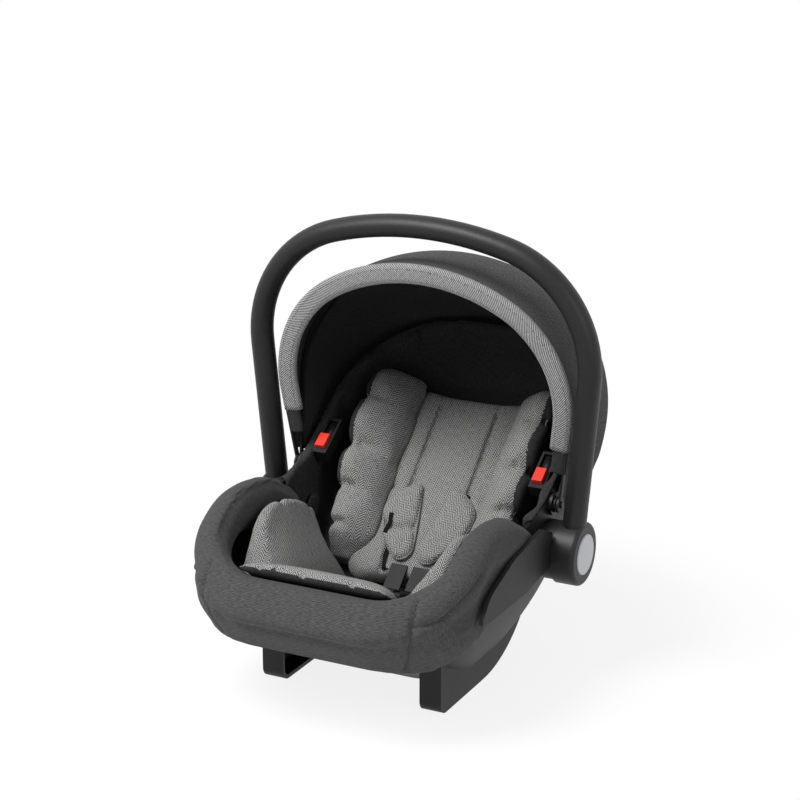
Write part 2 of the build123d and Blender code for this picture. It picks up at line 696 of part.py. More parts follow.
below_hem = (
    (-FAR, COVER_HEM),
    (-HEM_FRONT, COVER_HEM),
    (-HEM_REAR, HEM_HIGH),
    (FAR, HEM_HIGH),
    (FAR, -FAR),
    (-FAR, -FAR),
)
skirt -= Pos(-FAR, 0, 0) * extrude(Plane.YZ * make_face(Polyline(*below_hem, close=True)), 2 * FAR)
skirt -= Pos(0, FAR - COVER_REAR, 0) * Box(2 * FAR, 2 * FAR, 4 * FAR)
wall_room = (Part() + tub(SEAT_GAP)) - tub(-WALL - SEAT_GAP) - above_rim(SEAT_GAP)
cover = skirt + roll - wall_room
cover -= Pos(0, FAR + RIM_CAP_FRONT - 2.0, 0) * Box(2 * FAR, 2 * FAR, 4 * FAR)
for _, sign in SIDES:
    cover -= on_side(rod(HUB_BASE_RADIUS + SEAT_GAP, 0.0, HUB_END), sign)
    cover -= on_side(post_room, sign)
save("foot_cover", cover)

# Padding of the insert, drawn on the back plane and on the seat plane of the foam
back_plane = Plane(
    origin=(0, SEAT_LOW_Y, SEAT_LOW_Z),
    x_dir=(1, 0, 0),
    z_dir=(0, -sin(radians(BACK_ANGLE)), cos(radians(BACK_ANGLE))),
)
seat_plane = Plane(
    origin=(0, SEAT_LOW_Y, SEAT_LOW_Z),
    x_dir=(-1, 0, 0),
    z_dir=(0, sin(radians(SEAT_ANGLE)), cos(radians(SEAT_ANGLE))),
)
pad_space = tub(-WALL - LINER - 1.0)


def drawn_outline(half, start, end, inset, corner):
    """Rectangle with round corners whose sides draw in between them."""
    x = half - inset
    low = start + inset
    high = end - inset
    r = corner - inset / 2
    k = r * (1 - sqrt(0.5))
    d = PAD_DRAW
    mid = (low + high) / 2
    edges = [
        ThreePointArc((x, low + r), (x - d, mid), (x, high - r)),
        ThreePointArc((x, high - r), (x - k, high - k), (x - r, high)),
        ThreePointArc((x - r, high), (0, high - d), (r - x, high)),
        ThreePointArc((r - x, high), (k - x, high - k), (-x, high - r)),
        ThreePointArc((-x, high - r), (d - x, mid), (-x, low + r)),
        ThreePointArc((-x, low + r), (k - x, low + k), (r - x, low)),
        ThreePointArc((r - x, low), (0, low + d), (x - r, low)),
        ThreePointArc((x - r, low), (x - k, low + k), (x, low + r)),
    ]
    return Wire([edge.edge() for edge in edges])


back_pad_end = BACK_PAD_START + BACK_PAD_LENGTH
crown_steps = ((SEAT_GAP, 6.0), (0.3 * PAD_THICK, 0.0), (0.7 * PAD_THICK, 3.0), (PAD_THICK, 16.0))
back_pad = back_plane * Solid.make_loft([
    Pos(0, 0, level) * drawn_outline(BACK_PAD_HALF, BACK_PAD_START, back_pad_end, inset, PAD_CORNER)
    for level, inset in crown_steps
])
back_pad = Part() + back_pad
back_pad_middle = (BACK_PAD_START + back_pad_end) / 2
strap_run = Vector(STRAP_SLOT_X - STRAP_LOW_X, STRAP_SLOT_S - STRAP_LOW_S)
strap_turn = degrees(atan2(strap_run.Y, strap_run.X)) - 90
for _, sign in SIDES:
    groove = Pos(sign * CHANNEL_X, back_pad_middle, PAD_THICK + 1.0) * Rot(90, 0, 0)
    back_pad -= back_plane * groove * Cylinder(CHANNEL_RADIUS, 2 * BACK_PAD_LENGTH)
    slot = Rot(0, 0, sign * strap_turn) * Box(STRAP_WIDTH + 8.0, SLOT_HEIGHT, 4 * PAD_THICK)
    slot = Pos(sign * STRAP_SLOT_X, STRAP_SLOT_S, 0) * slot
    back_pad -= back_plane * slot
save("insert_back_pad", back_pad)


def seat_point(along, up):
    """Side view point at a place along the seat line and above it."""
    angle = radians(SEAT_ANGLE)
    y = SEAT_LOW_Y - along * cos(angle) + up * sin(angle)
    return y, SEAT_LOW_Z + along * sin(angle) + up * cos(angle)


lip_front = -ROLL_FRONT + 4.0
lip_low = ROLL_FRONT_Z + ROLL_RADIUS + 6.0
pad_under = (
    seat_point(SEAT_PAD_START, SEAT_GAP),
    seat_point(SEAT_PAD_BEND, SEAT_GAP),
    (-ROLL_FRONT + ROLL_RADIUS + 9.0, ROLL_FRONT_Z + 10.0),
    (lip_front, lip_low),
)
pad_over = (
    seat_point(SEAT_PAD_START + 6.0, PAD_THICK),
    seat_point(SEAT_PAD_BEND - 15.0, PAD_THICK),
    (-ROLL_FRONT + ROLL_RADIUS + 21.0, ROLL_FRONT_Z + 26.0),
    (lip_front - 3.0, lip_low + 13.0),
)
under_rounds = (6.0, 30.0, 15.0, 4.0)
over_rounds = (10.0, 40.0, 12.0, 5.0)


def seat_section(x, fullness):
    upper = [
        (low[0] + fullness * (high[0] - low[0]), low[1] + fullness * (high[1] - low[1]))
        for low, high in zip(pad_under, pad_over)
    ]
    points = list(pad_under) + upper[::-1]
    rounds = [under_rounds[0] * fullness, under_rounds[1], under_rounds[2], under_rounds[3] * fullness]
    rounds += [fullness * r for r in over_rounds[::-1]]
    outline = FilletPolyline(*points, radius=rounds, close=True)
    return Pos(x, 0, 0) * (Plane.YZ * Wire(outline.edges()))


pad_steps = ((-1.0, 0.45), (-0.85, 0.85), (0.0, 1.0), (0.85, 0.85), (1.0, 0.45))
seat_pad = Part() + Solid.make_loft([seat_section(SEAT_PAD_HALF * x, full) for x, full in pad_steps])
crotch_slot = Pos(0, CROTCH_S, 0) * Box(STRAP_WIDTH + 8.0, SLOT_HEIGHT, 4 * PAD_THICK)
seat_pad -= seat_plane * crotch_slot
seat_pad = (seat_pad - roll_room).solids().sort_by(SortBy.VOLUME)[-1]
save("insert_seat_pad", seat_pad)


def wing(plane, stations, top_inner, top_outer, lap):
    """Side bolster that leans outwards, lofted along a foam plane with its tufts."""
    wires = []
    for along, height in stations:
        share = height / WING_FULL
        inner = WING_INNER + (top_inner - WING_INNER) * share
        outer = WING_FOOT_OUTER + (top_outer - WING_FOOT_OUTER) * share
        round_off = min(8.0, 0.35 * height)
        lap_reach = (WING_INNER - lap) * min(max((height - 34.0) / 32.0, 0.04), 1.0)
        lap_level = min(WING_LAP_LEVEL, 0.7 * height)
        corners = (
            (WING_INNER, SEAT_GAP),
            (WING_FOOT_OUTER, SEAT_GAP),
            (outer, 0.88 * height),
            (inner, height),
            (WING_INNER - lap_reach, lap_level),
            (WING_INNER, lap_level),
        )
        rounds = (3.0, 6.0, round_off, round_off, 0.15 * lap_reach, 0.05 * lap_reach)
        outline = FilletPolyline(*corners, radius=rounds, close=True)
        section = Plane(origin=(0, along, 0), x_dir=(1, 0, 0), z_dir=(0, -1, 0))
        wires.append(section * Wire(outline.edges()))
    return (Part() + plane * Solid.make_loft(wires)) & pad_space & over_foam(-SEAT_GAP)


back_wing = wing(back_plane, BACK_WING, BACK_WING_TOP[0], BACK_WING_TOP[1], WING_LAP)
back_wing -= Pos(0, SEAT_LOW_Y + SEAT_GAP - FAR, 0) * Box(2 * FAR, 2 * FAR, 4 * FAR)
pad_room = Box(2 * (BACK_PAD_HALF + 1.5), 2 * BACK_PAD_LENGTH, 2 * (PAD_THICK + 2 * SEAT_GAP))
back_wing -= back_plane * Pos(0, back_pad_middle, 0) * pad_room
leg_wing = mirror(wing(seat_plane, LEG_WING, LEG_WING_TOP[0], LEG_WING_TOP[1], WING_INNER - 1.0), Plane.YZ)
leg_wing -= Pos(0, SEAT_LOW_Y - SEAT_GAP + FAR, 0) * Box(2 * FAR, 2 * FAR, 4 * FAR)
leg_wing = (leg_wing - roll_room).solids().sort_by(SortBy.VOLUME)[-1]
for side, sign in SIDES:
    save(f"insert_back_wing_{side}", on_side(back_wing, sign))
    save(f"insert_leg_wing_{side}", on_side(leg_wing, sign))

# Harness
strap_level = PAD_THICK + SEAT_GAP
strap_frame = back_plane * Pos(STRAP_SLOT_X, STRAP_SLOT_S, 0) * Rot(0, 0, strap_turn)
strap = Pos(0, -strap_run.length / 2, strap_level + STRAP_THICK / 2) * Box(
    STRAP_WIDTH, strap_run.length, STRAP_THICK
)
strap += Pos(0, 0, (strap_level + STRAP_THICK + SEAT_GAP) / 2) * Box(
    STRAP_WIDTH, STRAP_THICK, strap_level + STRAP_THICK - SEAT_GAP
)
shoulder_strap = strap_frame * strap

leaf_centre = Vector(-sum(x for x, _ in LEAF) / len(LEAF), sum(s for _, s in LEAF) / len(LEAF))
leaf_low = strap_level + STRAP_THICK + SEAT_GAP


def leaf_section(level, share):
    points = [
        (leaf_centre.X + share * (-x - leaf_centre.X), leaf_centre.Y + share * (s - leaf_centre.Y))
        for x, s in LEAF
    ]
    outline = FilletPolyline(*points, radius=[share * r for r in LEAF_ROUNDS], close=True)
    return Pos(0, 0, leaf_low + level) * Wire(outline.edges())


leaf_steps = ((0.0, 0.93), (0.3, 1.0), (0.65, 0.97), (1.0, 0.8))
shoulder_pad = mirror(
    back_plane * Solid.make_loft([leaf_section(SHOULDER_PAD_THICK * h, f) for h, f in leaf_steps]), Plane.YZ
)

buckle_middle = BUCKLE_S + BUCKLE_LENGTH / 2
buckle_low = PAD_THICK + 1.0


def buckle_box(width, length, low, high, along):
    return seat_plane * Pos(0, along, (low + high) / 2) * Box(width, length, high - low)


buckle_top = buckle_low + BUCKLE_THICK
buckle = buckle_box(BUCKLE_WIDTH, BUCKLE_LENGTH, buckle_low, buckle_top, buckle_middle)
buckle = fillet(buckle.edges(), 3.0)
button_spot = buckle_middle + BUCKLE_LENGTH / 5
buckle -= buckle_box(
    BUCKLE_BUTTON + 2 * GAP, BUCKLE_BUTTON + 2 * GAP, buckle_low + 4.0, buckle_top + 1.0, button_spot
)
buckle_button = buckle_box(
    BUCKLE_BUTTON, BUCKLE_BUTTON, buckle_low + 4.0 + BUCKLE_TRAVEL + GAP, buckle_top + 2.0, button_spot
)
buckle_button = fillet(buckle_button.edges().group_by(Axis.Z)[-1], 1.5)

tongue_low = strap_level + STRAP_THICK + SEAT_GAP
tongue = back_plane * Pos(STRAP_LOW_X - 5.0, TONGUE_MIDDLE, tongue_low + 1.5) * Box(22.0, TONGUE_LENGTH, 3.0)
tongue -= buckle_box(BUCKLE_WIDTH + 1.0, BUCKLE_LENGTH + 1.0, buckle_low - 1.0, buckle_top + 1.0, buckle_middle)
tongue = tongue.solids().sort_by(Axis.Z)[-1]

crotch_level = buckle_low + BUCKLE_THICK / 2
buckle_front = BUCKLE_S + BUCKLE_LENGTH
crotch = buckle_box(
    STRAP_WIDTH,
    CROTCH_S - buckle_front,
    crotch_level - STRAP_THICK / 2,
    crotch_level + STRAP_THICK / 2,
    (CROTCH_S + buckle_front) / 2 + SEAT_GAP,
)
crotch += buckle_box(STRAP_WIDTH, STRAP_THICK, SEAT_GAP, crotch_level + STRAP_THICK / 2, CROTCH_S)
save("crotch_strap", crotch)
save("buckle_housing", buckle)
save("buckle_button", buckle_button)
for side, sign in SIDES:
    save(f"shoulder_strap_{side}", on_side(shoulder_strap, sign))
    save(f"shoulder_pad_{side}", on_side(shoulder_pad, sign))
    save(f"buckle_tongue_{side}", on_side(tongue, sign))

# Hook for the diagonal belt on the back of the shell
hook_outline = (
    (HOOK_REACH - 60.0, HOOK_LOW),
    (HOOK_REACH, HOOK_LOW),
    (HOOK_REACH, HOOK_LOW + HOOK_HEIGHT),
    (HOOK_REACH - HOOK_THICK, HOOK_LOW + HOOK_HEIGHT),
    (HOOK_REACH - HOOK_THICK, HOOK_LOW + 12.0),
    (HOOK_REACH - 60.0, HOOK_LOW + 12.0),
)
hook = side_prism(hook_outline, (1.0, 6.0, 3.0, 3.0, 3.0, 1.0), -HOOK_HALF, HOOK_HALF)
save("rear_belt_guide", hook - clear_of_shell)
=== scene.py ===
# %% [markdown]
# # An infant car seat, dressed over its CAD frame
# The seat is a moulded shell on two runners with a turning handle, a folding canopy and a padded insert.
# The hard pieces come from the CAD model as they are and only get finishes.  The soft pieces are sewn
# anew here, each in the place of its CAD solid, because a solid has no crown, no seams and no weave.

# %% Frame
import json
from math import atan2, cos, pi, radians, sin, sqrt

import bmesh
import bpy
import numpy as np
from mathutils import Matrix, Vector
from mathutils.bvhtree import BVHTree


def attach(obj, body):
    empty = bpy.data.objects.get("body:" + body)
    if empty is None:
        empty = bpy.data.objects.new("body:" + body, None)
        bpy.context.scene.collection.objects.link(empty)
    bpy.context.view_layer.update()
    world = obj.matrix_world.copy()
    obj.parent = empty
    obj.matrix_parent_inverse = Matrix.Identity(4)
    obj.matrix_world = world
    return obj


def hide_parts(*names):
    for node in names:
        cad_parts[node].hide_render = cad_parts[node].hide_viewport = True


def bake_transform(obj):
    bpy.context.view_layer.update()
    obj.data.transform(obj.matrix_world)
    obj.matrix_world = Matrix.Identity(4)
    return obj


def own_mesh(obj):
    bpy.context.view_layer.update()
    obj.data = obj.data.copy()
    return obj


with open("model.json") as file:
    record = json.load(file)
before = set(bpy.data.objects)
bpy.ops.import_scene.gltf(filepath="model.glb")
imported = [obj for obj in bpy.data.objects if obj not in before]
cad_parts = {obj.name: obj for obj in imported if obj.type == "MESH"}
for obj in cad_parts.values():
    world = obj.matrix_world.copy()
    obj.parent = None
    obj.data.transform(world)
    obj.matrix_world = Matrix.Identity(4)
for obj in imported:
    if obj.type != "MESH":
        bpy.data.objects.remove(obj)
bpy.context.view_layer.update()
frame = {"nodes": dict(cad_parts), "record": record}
nodes = frame["nodes"]
scene = bpy.context.scene
joints = {joint["name"]: joint for joint in frame["record"]["behaviour"]["joints"]}
hub = Vector(joints["handle_turn"]["pos_m"])
canopy_pivot = Vector(joints["canopy_fold"]["pos_m"])

# %% [markdown]
# ## Camera
# The photograph is a long-lens studio view from the front right, a little above.  A camera is fixed by
# where it looks and how far off it stands, so one point of the seat, over the hub axis, is put at the
# pixel where the photograph has it, and the rest follows.

# %% Camera
FRAME_PX = 800
FOCAL_PX = 2100
AZIMUTH = radians(27)
ELEVATION = radians(17)
DISTANCE = 2.60
TARGET_PX = (421, 489)
TARGET_RISE = 0.048
target = hub + Vector((0, 0, TARGET_RISE))
forward = Vector((-sin(AZIMUTH) * cos(ELEVATION), cos(AZIMUTH) * cos(ELEVATION), -sin(ELEVATION)))
across = Vector((cos(AZIMUTH), sin(AZIMUTH), 0))
upward = across.cross(forward)
metres_per_px = DISTANCE / FOCAL_PX
aim = target - across * (TARGET_PX[0] - FRAME_PX / 2) * metres_per_px
aim += upward * (TARGET_PX[1] - FRAME_PX / 2) * metres_per_px

lens = bpy.data.cameras.new("photo_camera")
lens.lens = lens.sensor_width * FOCAL_PX / FRAME_PX
camera = bpy.data.objects.new("photo_camera", lens)
camera.location = aim - forward * DISTANCE
camera.rotation_euler = forward.to_track_quat("-Z", "Y").to_euler()
scene.collection.objects.link(camera)
scene.camera = camera
print("camera at", [round(v, 3) for v in camera.location], "lens", round(lens.lens, 1), "mm")

# %% [markdown]
# ## Shader maths as expressions
# Node trees are easier to read when they are written as sums.  A small class holds a socket and knows
# the four operations, so that `1 - mask * 0.4` adds its own Math nodes.  A second one is the workshop of
# one finish: it makes any node and keeps the shader.


# %% Socket maths
class Strand:
    """One output socket of a finish, with arithmetic."""

    def __init__(self, finish, socket):
        self.finish = finish
        self.socket = socket

    def maths(self, operation, first, second):
        return self.finish.node("ShaderNodeMath", {"operation": operation}, {0: first, 1: second})

    def __add__(self, other):
        return self.maths("ADD", self, other)

    __radd__ = __add__

    def __sub__(self, other):
        return self.maths("SUBTRACT", self, other)

    def __rsub__(self, other):
        return self.maths("SUBTRACT", other, self)

    def __mul__(self, other):
        return self.maths("MULTIPLY", self, other)

    __rmul__ = __mul__

    def __truediv__(self, other):
        return self.maths("DIVIDE", self, other)


class Workshop:
    """Makes nodes in one shader tree."""

    def __init__(self, tree):
        self.tree = tree

    def node(self, kind, settings, inputs, output=0):
        made = self.tree.nodes.new(kind)
        for name, value in settings.items():
            setattr(made, name, value)
        for key, value in inputs.items():
            self.feed(made.inputs[key], value)
        return Strand(self, made.outputs[output])

    def feed(self, socket, value):
        if isinstance(value, Strand):
            self.tree.links.new(value.socket, socket)
        else:
            socket.default_value = value

    def blend(self, factor, first, second):
        """Colour between two colours."""
        colours = [tuple(c) + (1,) if isinstance(c, tuple) else c for c in (first, second)]
        settings = {"data_type": "RGBA"}
        return self.node("ShaderNodeMix", settings, {"Factor": factor, 6: colours[0], 7: colours[1]}, 2)

    def place(self, kind="Object"):
        return self.node("ShaderNodeTexCoord", {}, {}, kind)

    def noise(self, place, scale, detail=3.0):
        return self.node("ShaderNodeTexNoise", {}, {"Vector": place, "Scale": scale, "Detail": detail})

    def step(self, value, low, high):
        """0 below low, 1 above high, smooth between."""
        settings = {"interpolation_type": "SMOOTHSTEP"}
        return self.node("ShaderNodeMapRange", settings, {0: value, 1: low, 2: high})

    def seen_directly(self):
        """1 for rays from the camera, mirrors and glass."""
        rays = [self.node("ShaderNodeLightPath", {}, {}, f"Is {kind} Ray") for kind in
                ("Camera", "Glossy", "Transmission")]
        return rays[0].maths("MAXIMUM", rays[0].maths("MAXIMUM", rays[0], rays[1]), rays[2])


class Finish(Workshop):
    """A material with one Principled shader, and the nodes that feed it."""

    def __init__(self, name, constants):
        self.material = bpy.data.materials.new(name)
        self.material.use_nodes = True
        super().__init__(self.material.node_tree)
        self.shader = self.tree.nodes["Principled BSDF"]
        for socket, value in constants.items():
            self.shader.inputs[socket].default_value = value

    def wear(self, colour=None, roughness=None, height=None, depth=0.0005):
        """Feeds what changes over the surface to the shader."""
        if colour:
            self.feed(self.shader.inputs["Base Color"], colour)
        if roughness:
            self.feed(self.shader.inputs["Roughness"], roughness)
        if height:
            bump = self.node("ShaderNodeBump", {}, {"Height": height, "Distance": depth, "Strength": 1.0})
            self.feed(self.shader.inputs["Normal"], bump)
        return self.material


print("finishes are built from", Strand.__name__, "and", Finish.__name__)

# %% [markdown]
# ## Moulded plastics and metal
# The shell, handle and hubs are polypropylene with a fine spark-eroded grain, which spreads the
# highlight and catches a little dust.  A noise at half a millimetre gives the grain, a slow one varies
# the gloss, and the soles of the runners are scuffed grey where they stand.


# %% Plastics and steel
def moulded(name, colour, rough, grain=0.00006, scuff=0.0):
    finish = Finish(name, {"Specular IOR Level": 0.28})
    place = finish.place()
    fine = finish.noise(place, 1800.0)
    slow = finish.noise(place, 9.0)
    pale = tuple(c * 1.35 + 0.004 for c in colour)
    mask = finish.step(slow, 0.35, 0.75) * 0.35
    if scuff:
        height = finish.node("ShaderNodeSeparateXYZ", {}, {0: place}, 2)
        sole = 1 - finish.step(height, 0.0, 0.016)
        mask = mask + sole * finish.step(finish.noise(place, 140.0), 0.4, 0.7) * scuff
    tint = finish.blend(mask, colour, pale)
    return finish.wear(tint, slow * 0.16 + (rough - 0.08) + fine * 0.06, fine, grain)


def steel(name):
    finish = Finish(name, {"Metallic": 1.0})
    place = finish.place()
    stretched = finish.node("ShaderNodeMapping", {}, {"Vector": place, "Scale": (60.0, 900.0, 900.0)})
    brushed = finish.noise(stretched, 1.0)
    tint = finish.blend(brushed, (0.42, 0.43, 0.45), (0.62, 0.63, 0.65))
    return finish.wear(tint, brushed * 0.2 + 0.22, brushed, 0.00003)


shop = {
    "shell_plastic": moulded("shell_plastic", (0.0085, 0.0076, 0.0072), 0.48, 0.00008, 0.35),
    "handle_plastic": moulded("handle_plastic", (0.0088, 0.0088, 0.0092), 0.42),
    "button_plastic": moulded("button_plastic", (0.46, 0.47, 0.49), 0.36, 0.00002),
    "gear_plastic": moulded("gear_plastic", (0.55, 0.55, 0.53), 0.45),
    "red_plastic": moulded("red_plastic", (0.72, 0.035, 0.02), 0.34, 0.00002),
    "buckle_plastic": moulded("buckle_plastic", (0.004, 0.004, 0.0042), 0.58),
    "bow_plastic": moulded("bow_plastic", (0.01, 0.01, 0.01), 0.5),
    "steel": steel("zinc_steel"),
}
print("hard finishes:", ", ".join(shop))

# %% [markdown]
# ## Woven cloth
# Four cloths are seen: a grey herringbone on the insert, a dark melange on the foot cover, a charcoal
# plain weave on the canopy and a light twill on its edge.  Each is a weave with its own pitch, so one
# recipe makes them all from a cloth map in metres that every soft piece carries.  The threads are real
# waves across that map: diagonals for a twill, diagonals that change hands from stripe to stripe for a
# herringbone, and two crossed waves for a plain weave.


# %% Cloths
CLOTH_MAP = "cloth"


def cloth_place(finish, width, length):
    """The cloth map in threads: across and along, as two strands."""
    flat = finish.node("ShaderNodeUVMap", {"uv_map": CLOTH_MAP}, {})
    apart = {0: flat}
    along = finish.node("ShaderNodeSeparateXYZ", {}, apart, 0)
    across_cloth = finish.node("ShaderNodeSeparateXYZ", {}, apart, 1)
    return flat, along / width, across_cloth / length


def wave(finish, value):
    """0 to 1 and back for each whole step of value."""
    turned = finish.node("ShaderNodeMath", {"operation": "SINE"}, {0: value * (2 * pi)})
    return turned * 0.5 + 0.5


def woven(name, dark, light, weave, pitch, depth, mix=(0.3, 0.8), sheen=0.25, fleck=0.35):
    finish = Finish(name, {"Sheen Weight": sheen, "Sheen Roughness": 0.4, "Specular IOR Level": 0.06})
    flat, u, v = cloth_place(finish, pitch, pitch)
    if weave == "herringbone":
        stripe = finish.node("ShaderNodeMath", {"operation": "PINGPONG"}, {0: u, 1: 2.0})
        threads = wave(finish, v * 0.8 + stripe)
    elif weave == "twill":
        threads = wave(finish, v * 0.8 + u * 0.8)
    else:
        threads = wave(finish, u) * 0.5 + wave(finish, v) * 0.5
    yarn = finish.node("ShaderNodeMapping", {}, {"Vector": flat, "Scale": (900.0, 160.0, 1.0)})
    speckle = finish.noise(yarn, 1.0, 4.0)
    slow = finish.noise(finish.place(), 14.0)
    mask = finish.step(threads + (speckle - 0.5) * (2.4 * fleck), mix[0], mix[1])
    tint = finish.blend(mask, dark, light)
    faded = tuple(0.5 * (a + b) for a, b in zip(dark, light))
    worn = finish.blend(finish.step(slow, 0.3, 0.8) * 0.25, tint, faded)
    return finish.wear(worn, 0.94 - mask * 0.12, threads + speckle * fleck, depth)


shop["insert_fabric"] = woven("insert_herringbone", (0.045, 0.045, 0.045), (0.40, 0.40, 0.395),
                              "herringbone", 0.0027, 0.0004, (0.15, 0.95), 0.06, 0.5)
shop["cover_fabric"] = woven("cover_melange", (0.037, 0.0362, 0.037), (0.098, 0.096, 0.098),
                             "plain", 0.0014, 0.0002, (0.2, 0.95), 0.05, 0.6)
shop["canopy_fabric"] = woven("canopy_weave", (0.040, 0.0395, 0.0395), (0.112, 0.110, 0.112),
                              "plain", 0.0012, 0.00015, (0.3, 0.95), 0.05, 0.8)
shop["band_fabric"] = woven("band_twill", (0.055, 0.055, 0.055), (0.42, 0.42, 0.42), "twill", 0.0025, 0.0003,
                            (0.15, 0.95), 0.06, 0.5)
shop["liner_fabric"] = woven("liner_knit", (0.020, 0.020, 0.0205), (0.056, 0.056, 0.057),
                             "plain", 0.0016, 0.0002, (0.3, 0.9), 0.03, 0.5)
shop["webbing"] = woven("harness_webbing", (0.004, 0.004, 0.004), (0.014, 0.014, 0.0145),
                        "herringbone", 0.0026, 0.0003, (0.3, 0.8), 0.04, 0.3)
shop["foam"] = shop["liner_fabric"]
print("cloths:", [name for name in shop if "fabric" in name or name == "webbing"])

# %% [markdown]
# ## Finishes onto the CAD pieces
# A hard piece keeps its CAD mesh.  The record names a material slot for each piece, so one loop dresses
# them all.  Only the trigger housings are blacker than the shell that they sit in.

# %% Finishes onto the CAD pieces
for subpart in frame["record"]["subparts"]:
    node = nodes[subpart["node"]]
    node.material_slots[0].material = shop[subpart["material_slot"]]
for side in ("left", "right"):
    nodes[f"trigger_housing_{side}"].material_slots[0].material = shop["buckle_plastic"]

# %% [markdown]
# ## Floor and light
# The photograph has a white sweep with a faint contact shadow.  The floor is white cloth to the lamps,
# and for the camera it is mostly plain white with a share of its real shading left in, which keeps the
# shadow.  Three soft lamps and a pale world light the seat at a plain level.


# %% Floor, lamps and world
FLOOR_HALF = 12.0
FLOOR_WHITE = 0.85
floor_mesh = bpy.data.meshes.new("floor")
corners = [(x * FLOOR_HALF, y * FLOOR_HALF, 0) for x, y in ((-1, -1), (1, -1), (1, 1), (-1, 1))]
floor_mesh.from_pydata(corners, [], [(0, 1, 2, 3)])
floor = bpy.data.objects.new("floor", floor_mesh)
scene.collection.objects.link(floor)
sweep = Finish("sweep_white", {"Base Color": (0.9, 0.9, 0.9, 1), "Roughness": 1.0, "Specular IOR Level": 0.0})
away = sweep.node("ShaderNodeVectorMath", {"operation": "LENGTH"}, {0: sweep.place()}, "Value")
far_white = sweep.step(away, 0.28, 0.6) * (1 - FLOOR_WHITE) + FLOOR_WHITE
glow = sweep.node("ShaderNodeEmission", {}, {})
shaded = Strand(sweep, sweep.shader.outputs[0])
mixed = sweep.node("ShaderNodeMixShader", {}, {0: sweep.seen_directly() * far_white, 1: shaded, 2: glow})
sweep.feed(sweep.tree.nodes["Material Output"].inputs["Surface"], mixed)
floor_mesh.materials.append(sweep.material)

WORLD_LIGHT = 0.42
scene.world = bpy.data.worlds.new("studio")
scene.world.use_nodes = True
sky = Workshop(scene.world.node_tree)
backdrop = sky.tree.nodes["Background"]
backdrop.inputs["Color"].default_value = (1, 1, 1, 1)
sky.feed(backdrop.inputs["Strength"], sky.seen_directly() * (1 - WORLD_LIGHT) + WORLD_LIGHT)

for name, spot, size, power in (
    ("key_lamp", (-1.5, -1.9, 2.4), 1.4, 40.0),
    ("side_lamp", (2.3, -0.7, 1.5), 1.0, 10.0),
    ("top_lamp", (-0.8, -1.2, 2.8), 1.2, 76.0),
):
    lamp = bpy.data.lights.new(name, "AREA")
    lamp.size = size
    lamp.energy = power
    lamp_object = bpy.data.objects.new(name, lamp)
    lamp_object.location = spot
    lamp_object.rotation_euler = (target - Vector(spot)).to_track_quat("-Z", "Y").to_euler()
    scene.collection.objects.link(lamp_object)
scene.view_settings.view_transform = "Standard"
print("floor, world and lamps set")

# %% [markdown]
# ## Sewing tools
# A soft piece starts as a copy of its CAD solid, whose triangles are merged and remeshed to even quads.
# Modifiers do the remeshing and smoothing, and their result becomes a plain mesh before the next step.


# %% Copies and remeshing
def cad_copy(name, *node_names):
    """New object with the merged triangles of CAD nodes."""
    form = bmesh.new()
    for node_name in node_names:
        form.from_mesh(nodes[node_name].data)
    bmesh.ops.remove_doubles(form, verts=form.verts, dist=1e-5)
    mesh = bpy.data.meshes.new(name)
    form.to_mesh(mesh)
    form.free()
    return new_piece(name, mesh)


def new_piece(name, mesh):
    piece = bpy.data.objects.new(name, mesh)
    scene.collection.objects.link(piece)
    return piece


def settle(piece):
    """Turns modifiers into a plain mesh."""
    graph = bpy.context.evaluated_depsgraph_get()
    mesh = bpy.data.meshes.new_from_object(piece.evaluated_get(graph), depsgraph=graph)
    piece.modifiers.clear()
    piece.data = mesh
    return piece


def remesh(piece, voxel):
    cells = piece.modifiers.new("cells", "REMESH")
    cells.mode = "VOXEL"
    cells.voxel_size = voxel
    return settle(piece)


def relax(piece, factor, rounds):
    smooth = piece.modifiers.new("relax", "SMOOTH")
    smooth.factor = factor
    smooth.iterations = rounds
    return settle(piece)


def divide(piece):
    finer = piece.modifiers.new("finer", "SUBSURF")
    finer.levels = 1
    finer.render_levels = 1
    settle(piece)
    piece.data.shade_smooth()
    return piece


print("copies are merged, remeshed and relaxed")

# %% [markdown]
# ## Stuffing
# A pad is cloth with filling, so it is stuffed: air pressure inside swells it between its seams.  Each
# point may only move as far as its room allows, so a pad stays flat where it lies on something and crowns
# where it is free.


# %% Stuffing
def ease(value, low, high):
    """Smooth step from 0 at low to 1 at high."""
    share = min(max((value - low) / (high - low), 0.0), 1.0)
    return share * share * (3 - 2 * share)


def normals_of(piece):
    """All point normals, read before any point moves."""
    return [vertex.normal.copy() for vertex in piece.data.vertices]


SIM_FRAMES = 14


def stuff(piece, voxel, room, soften=3, pressure=4.0):
    """Swells a piece; room(place, normal) is how far a point may move."""
    remesh(piece, voxel)
    relax(piece, 0.5, soften)
    start = [(v.co.copy(), v.normal.copy()) for v in piece.data.vertices]
    cloth = piece.modifiers.new("stuffing", "CLOTH")
    cloth.settings.quality = 3
    cloth.settings.mass = 0.2
    cloth.settings.tension_stiffness = 20
    cloth.settings.compression_stiffness = 20
    cloth.settings.bending_stiffness = 4
    cloth.settings.use_pressure = True
    cloth.settings.uniform_pressure_force = pressure
    cloth.settings.effector_weights.gravity = 0
    cloth.collision_settings.use_collision = False
    cloth.point_cache.frame_start = 1
    cloth.point_cache.frame_end = SIM_FRAMES
    for number in range(1, SIM_FRAMES + 1):
        scene.frame_set(number)
    settle(piece)
    scene.frame_set(1)
    for vertex, (place, normal) in zip(piece.data.vertices, start):
        shift = vertex.co - place
        limit = room(place, normal)
        vertex.co = place + shift * min(1.0, limit / max(shift.length, 1e-9))
    return divide(relax(piece, 0.4, 2))


print("stuffing runs for", SIM_FRAMES, "frames")

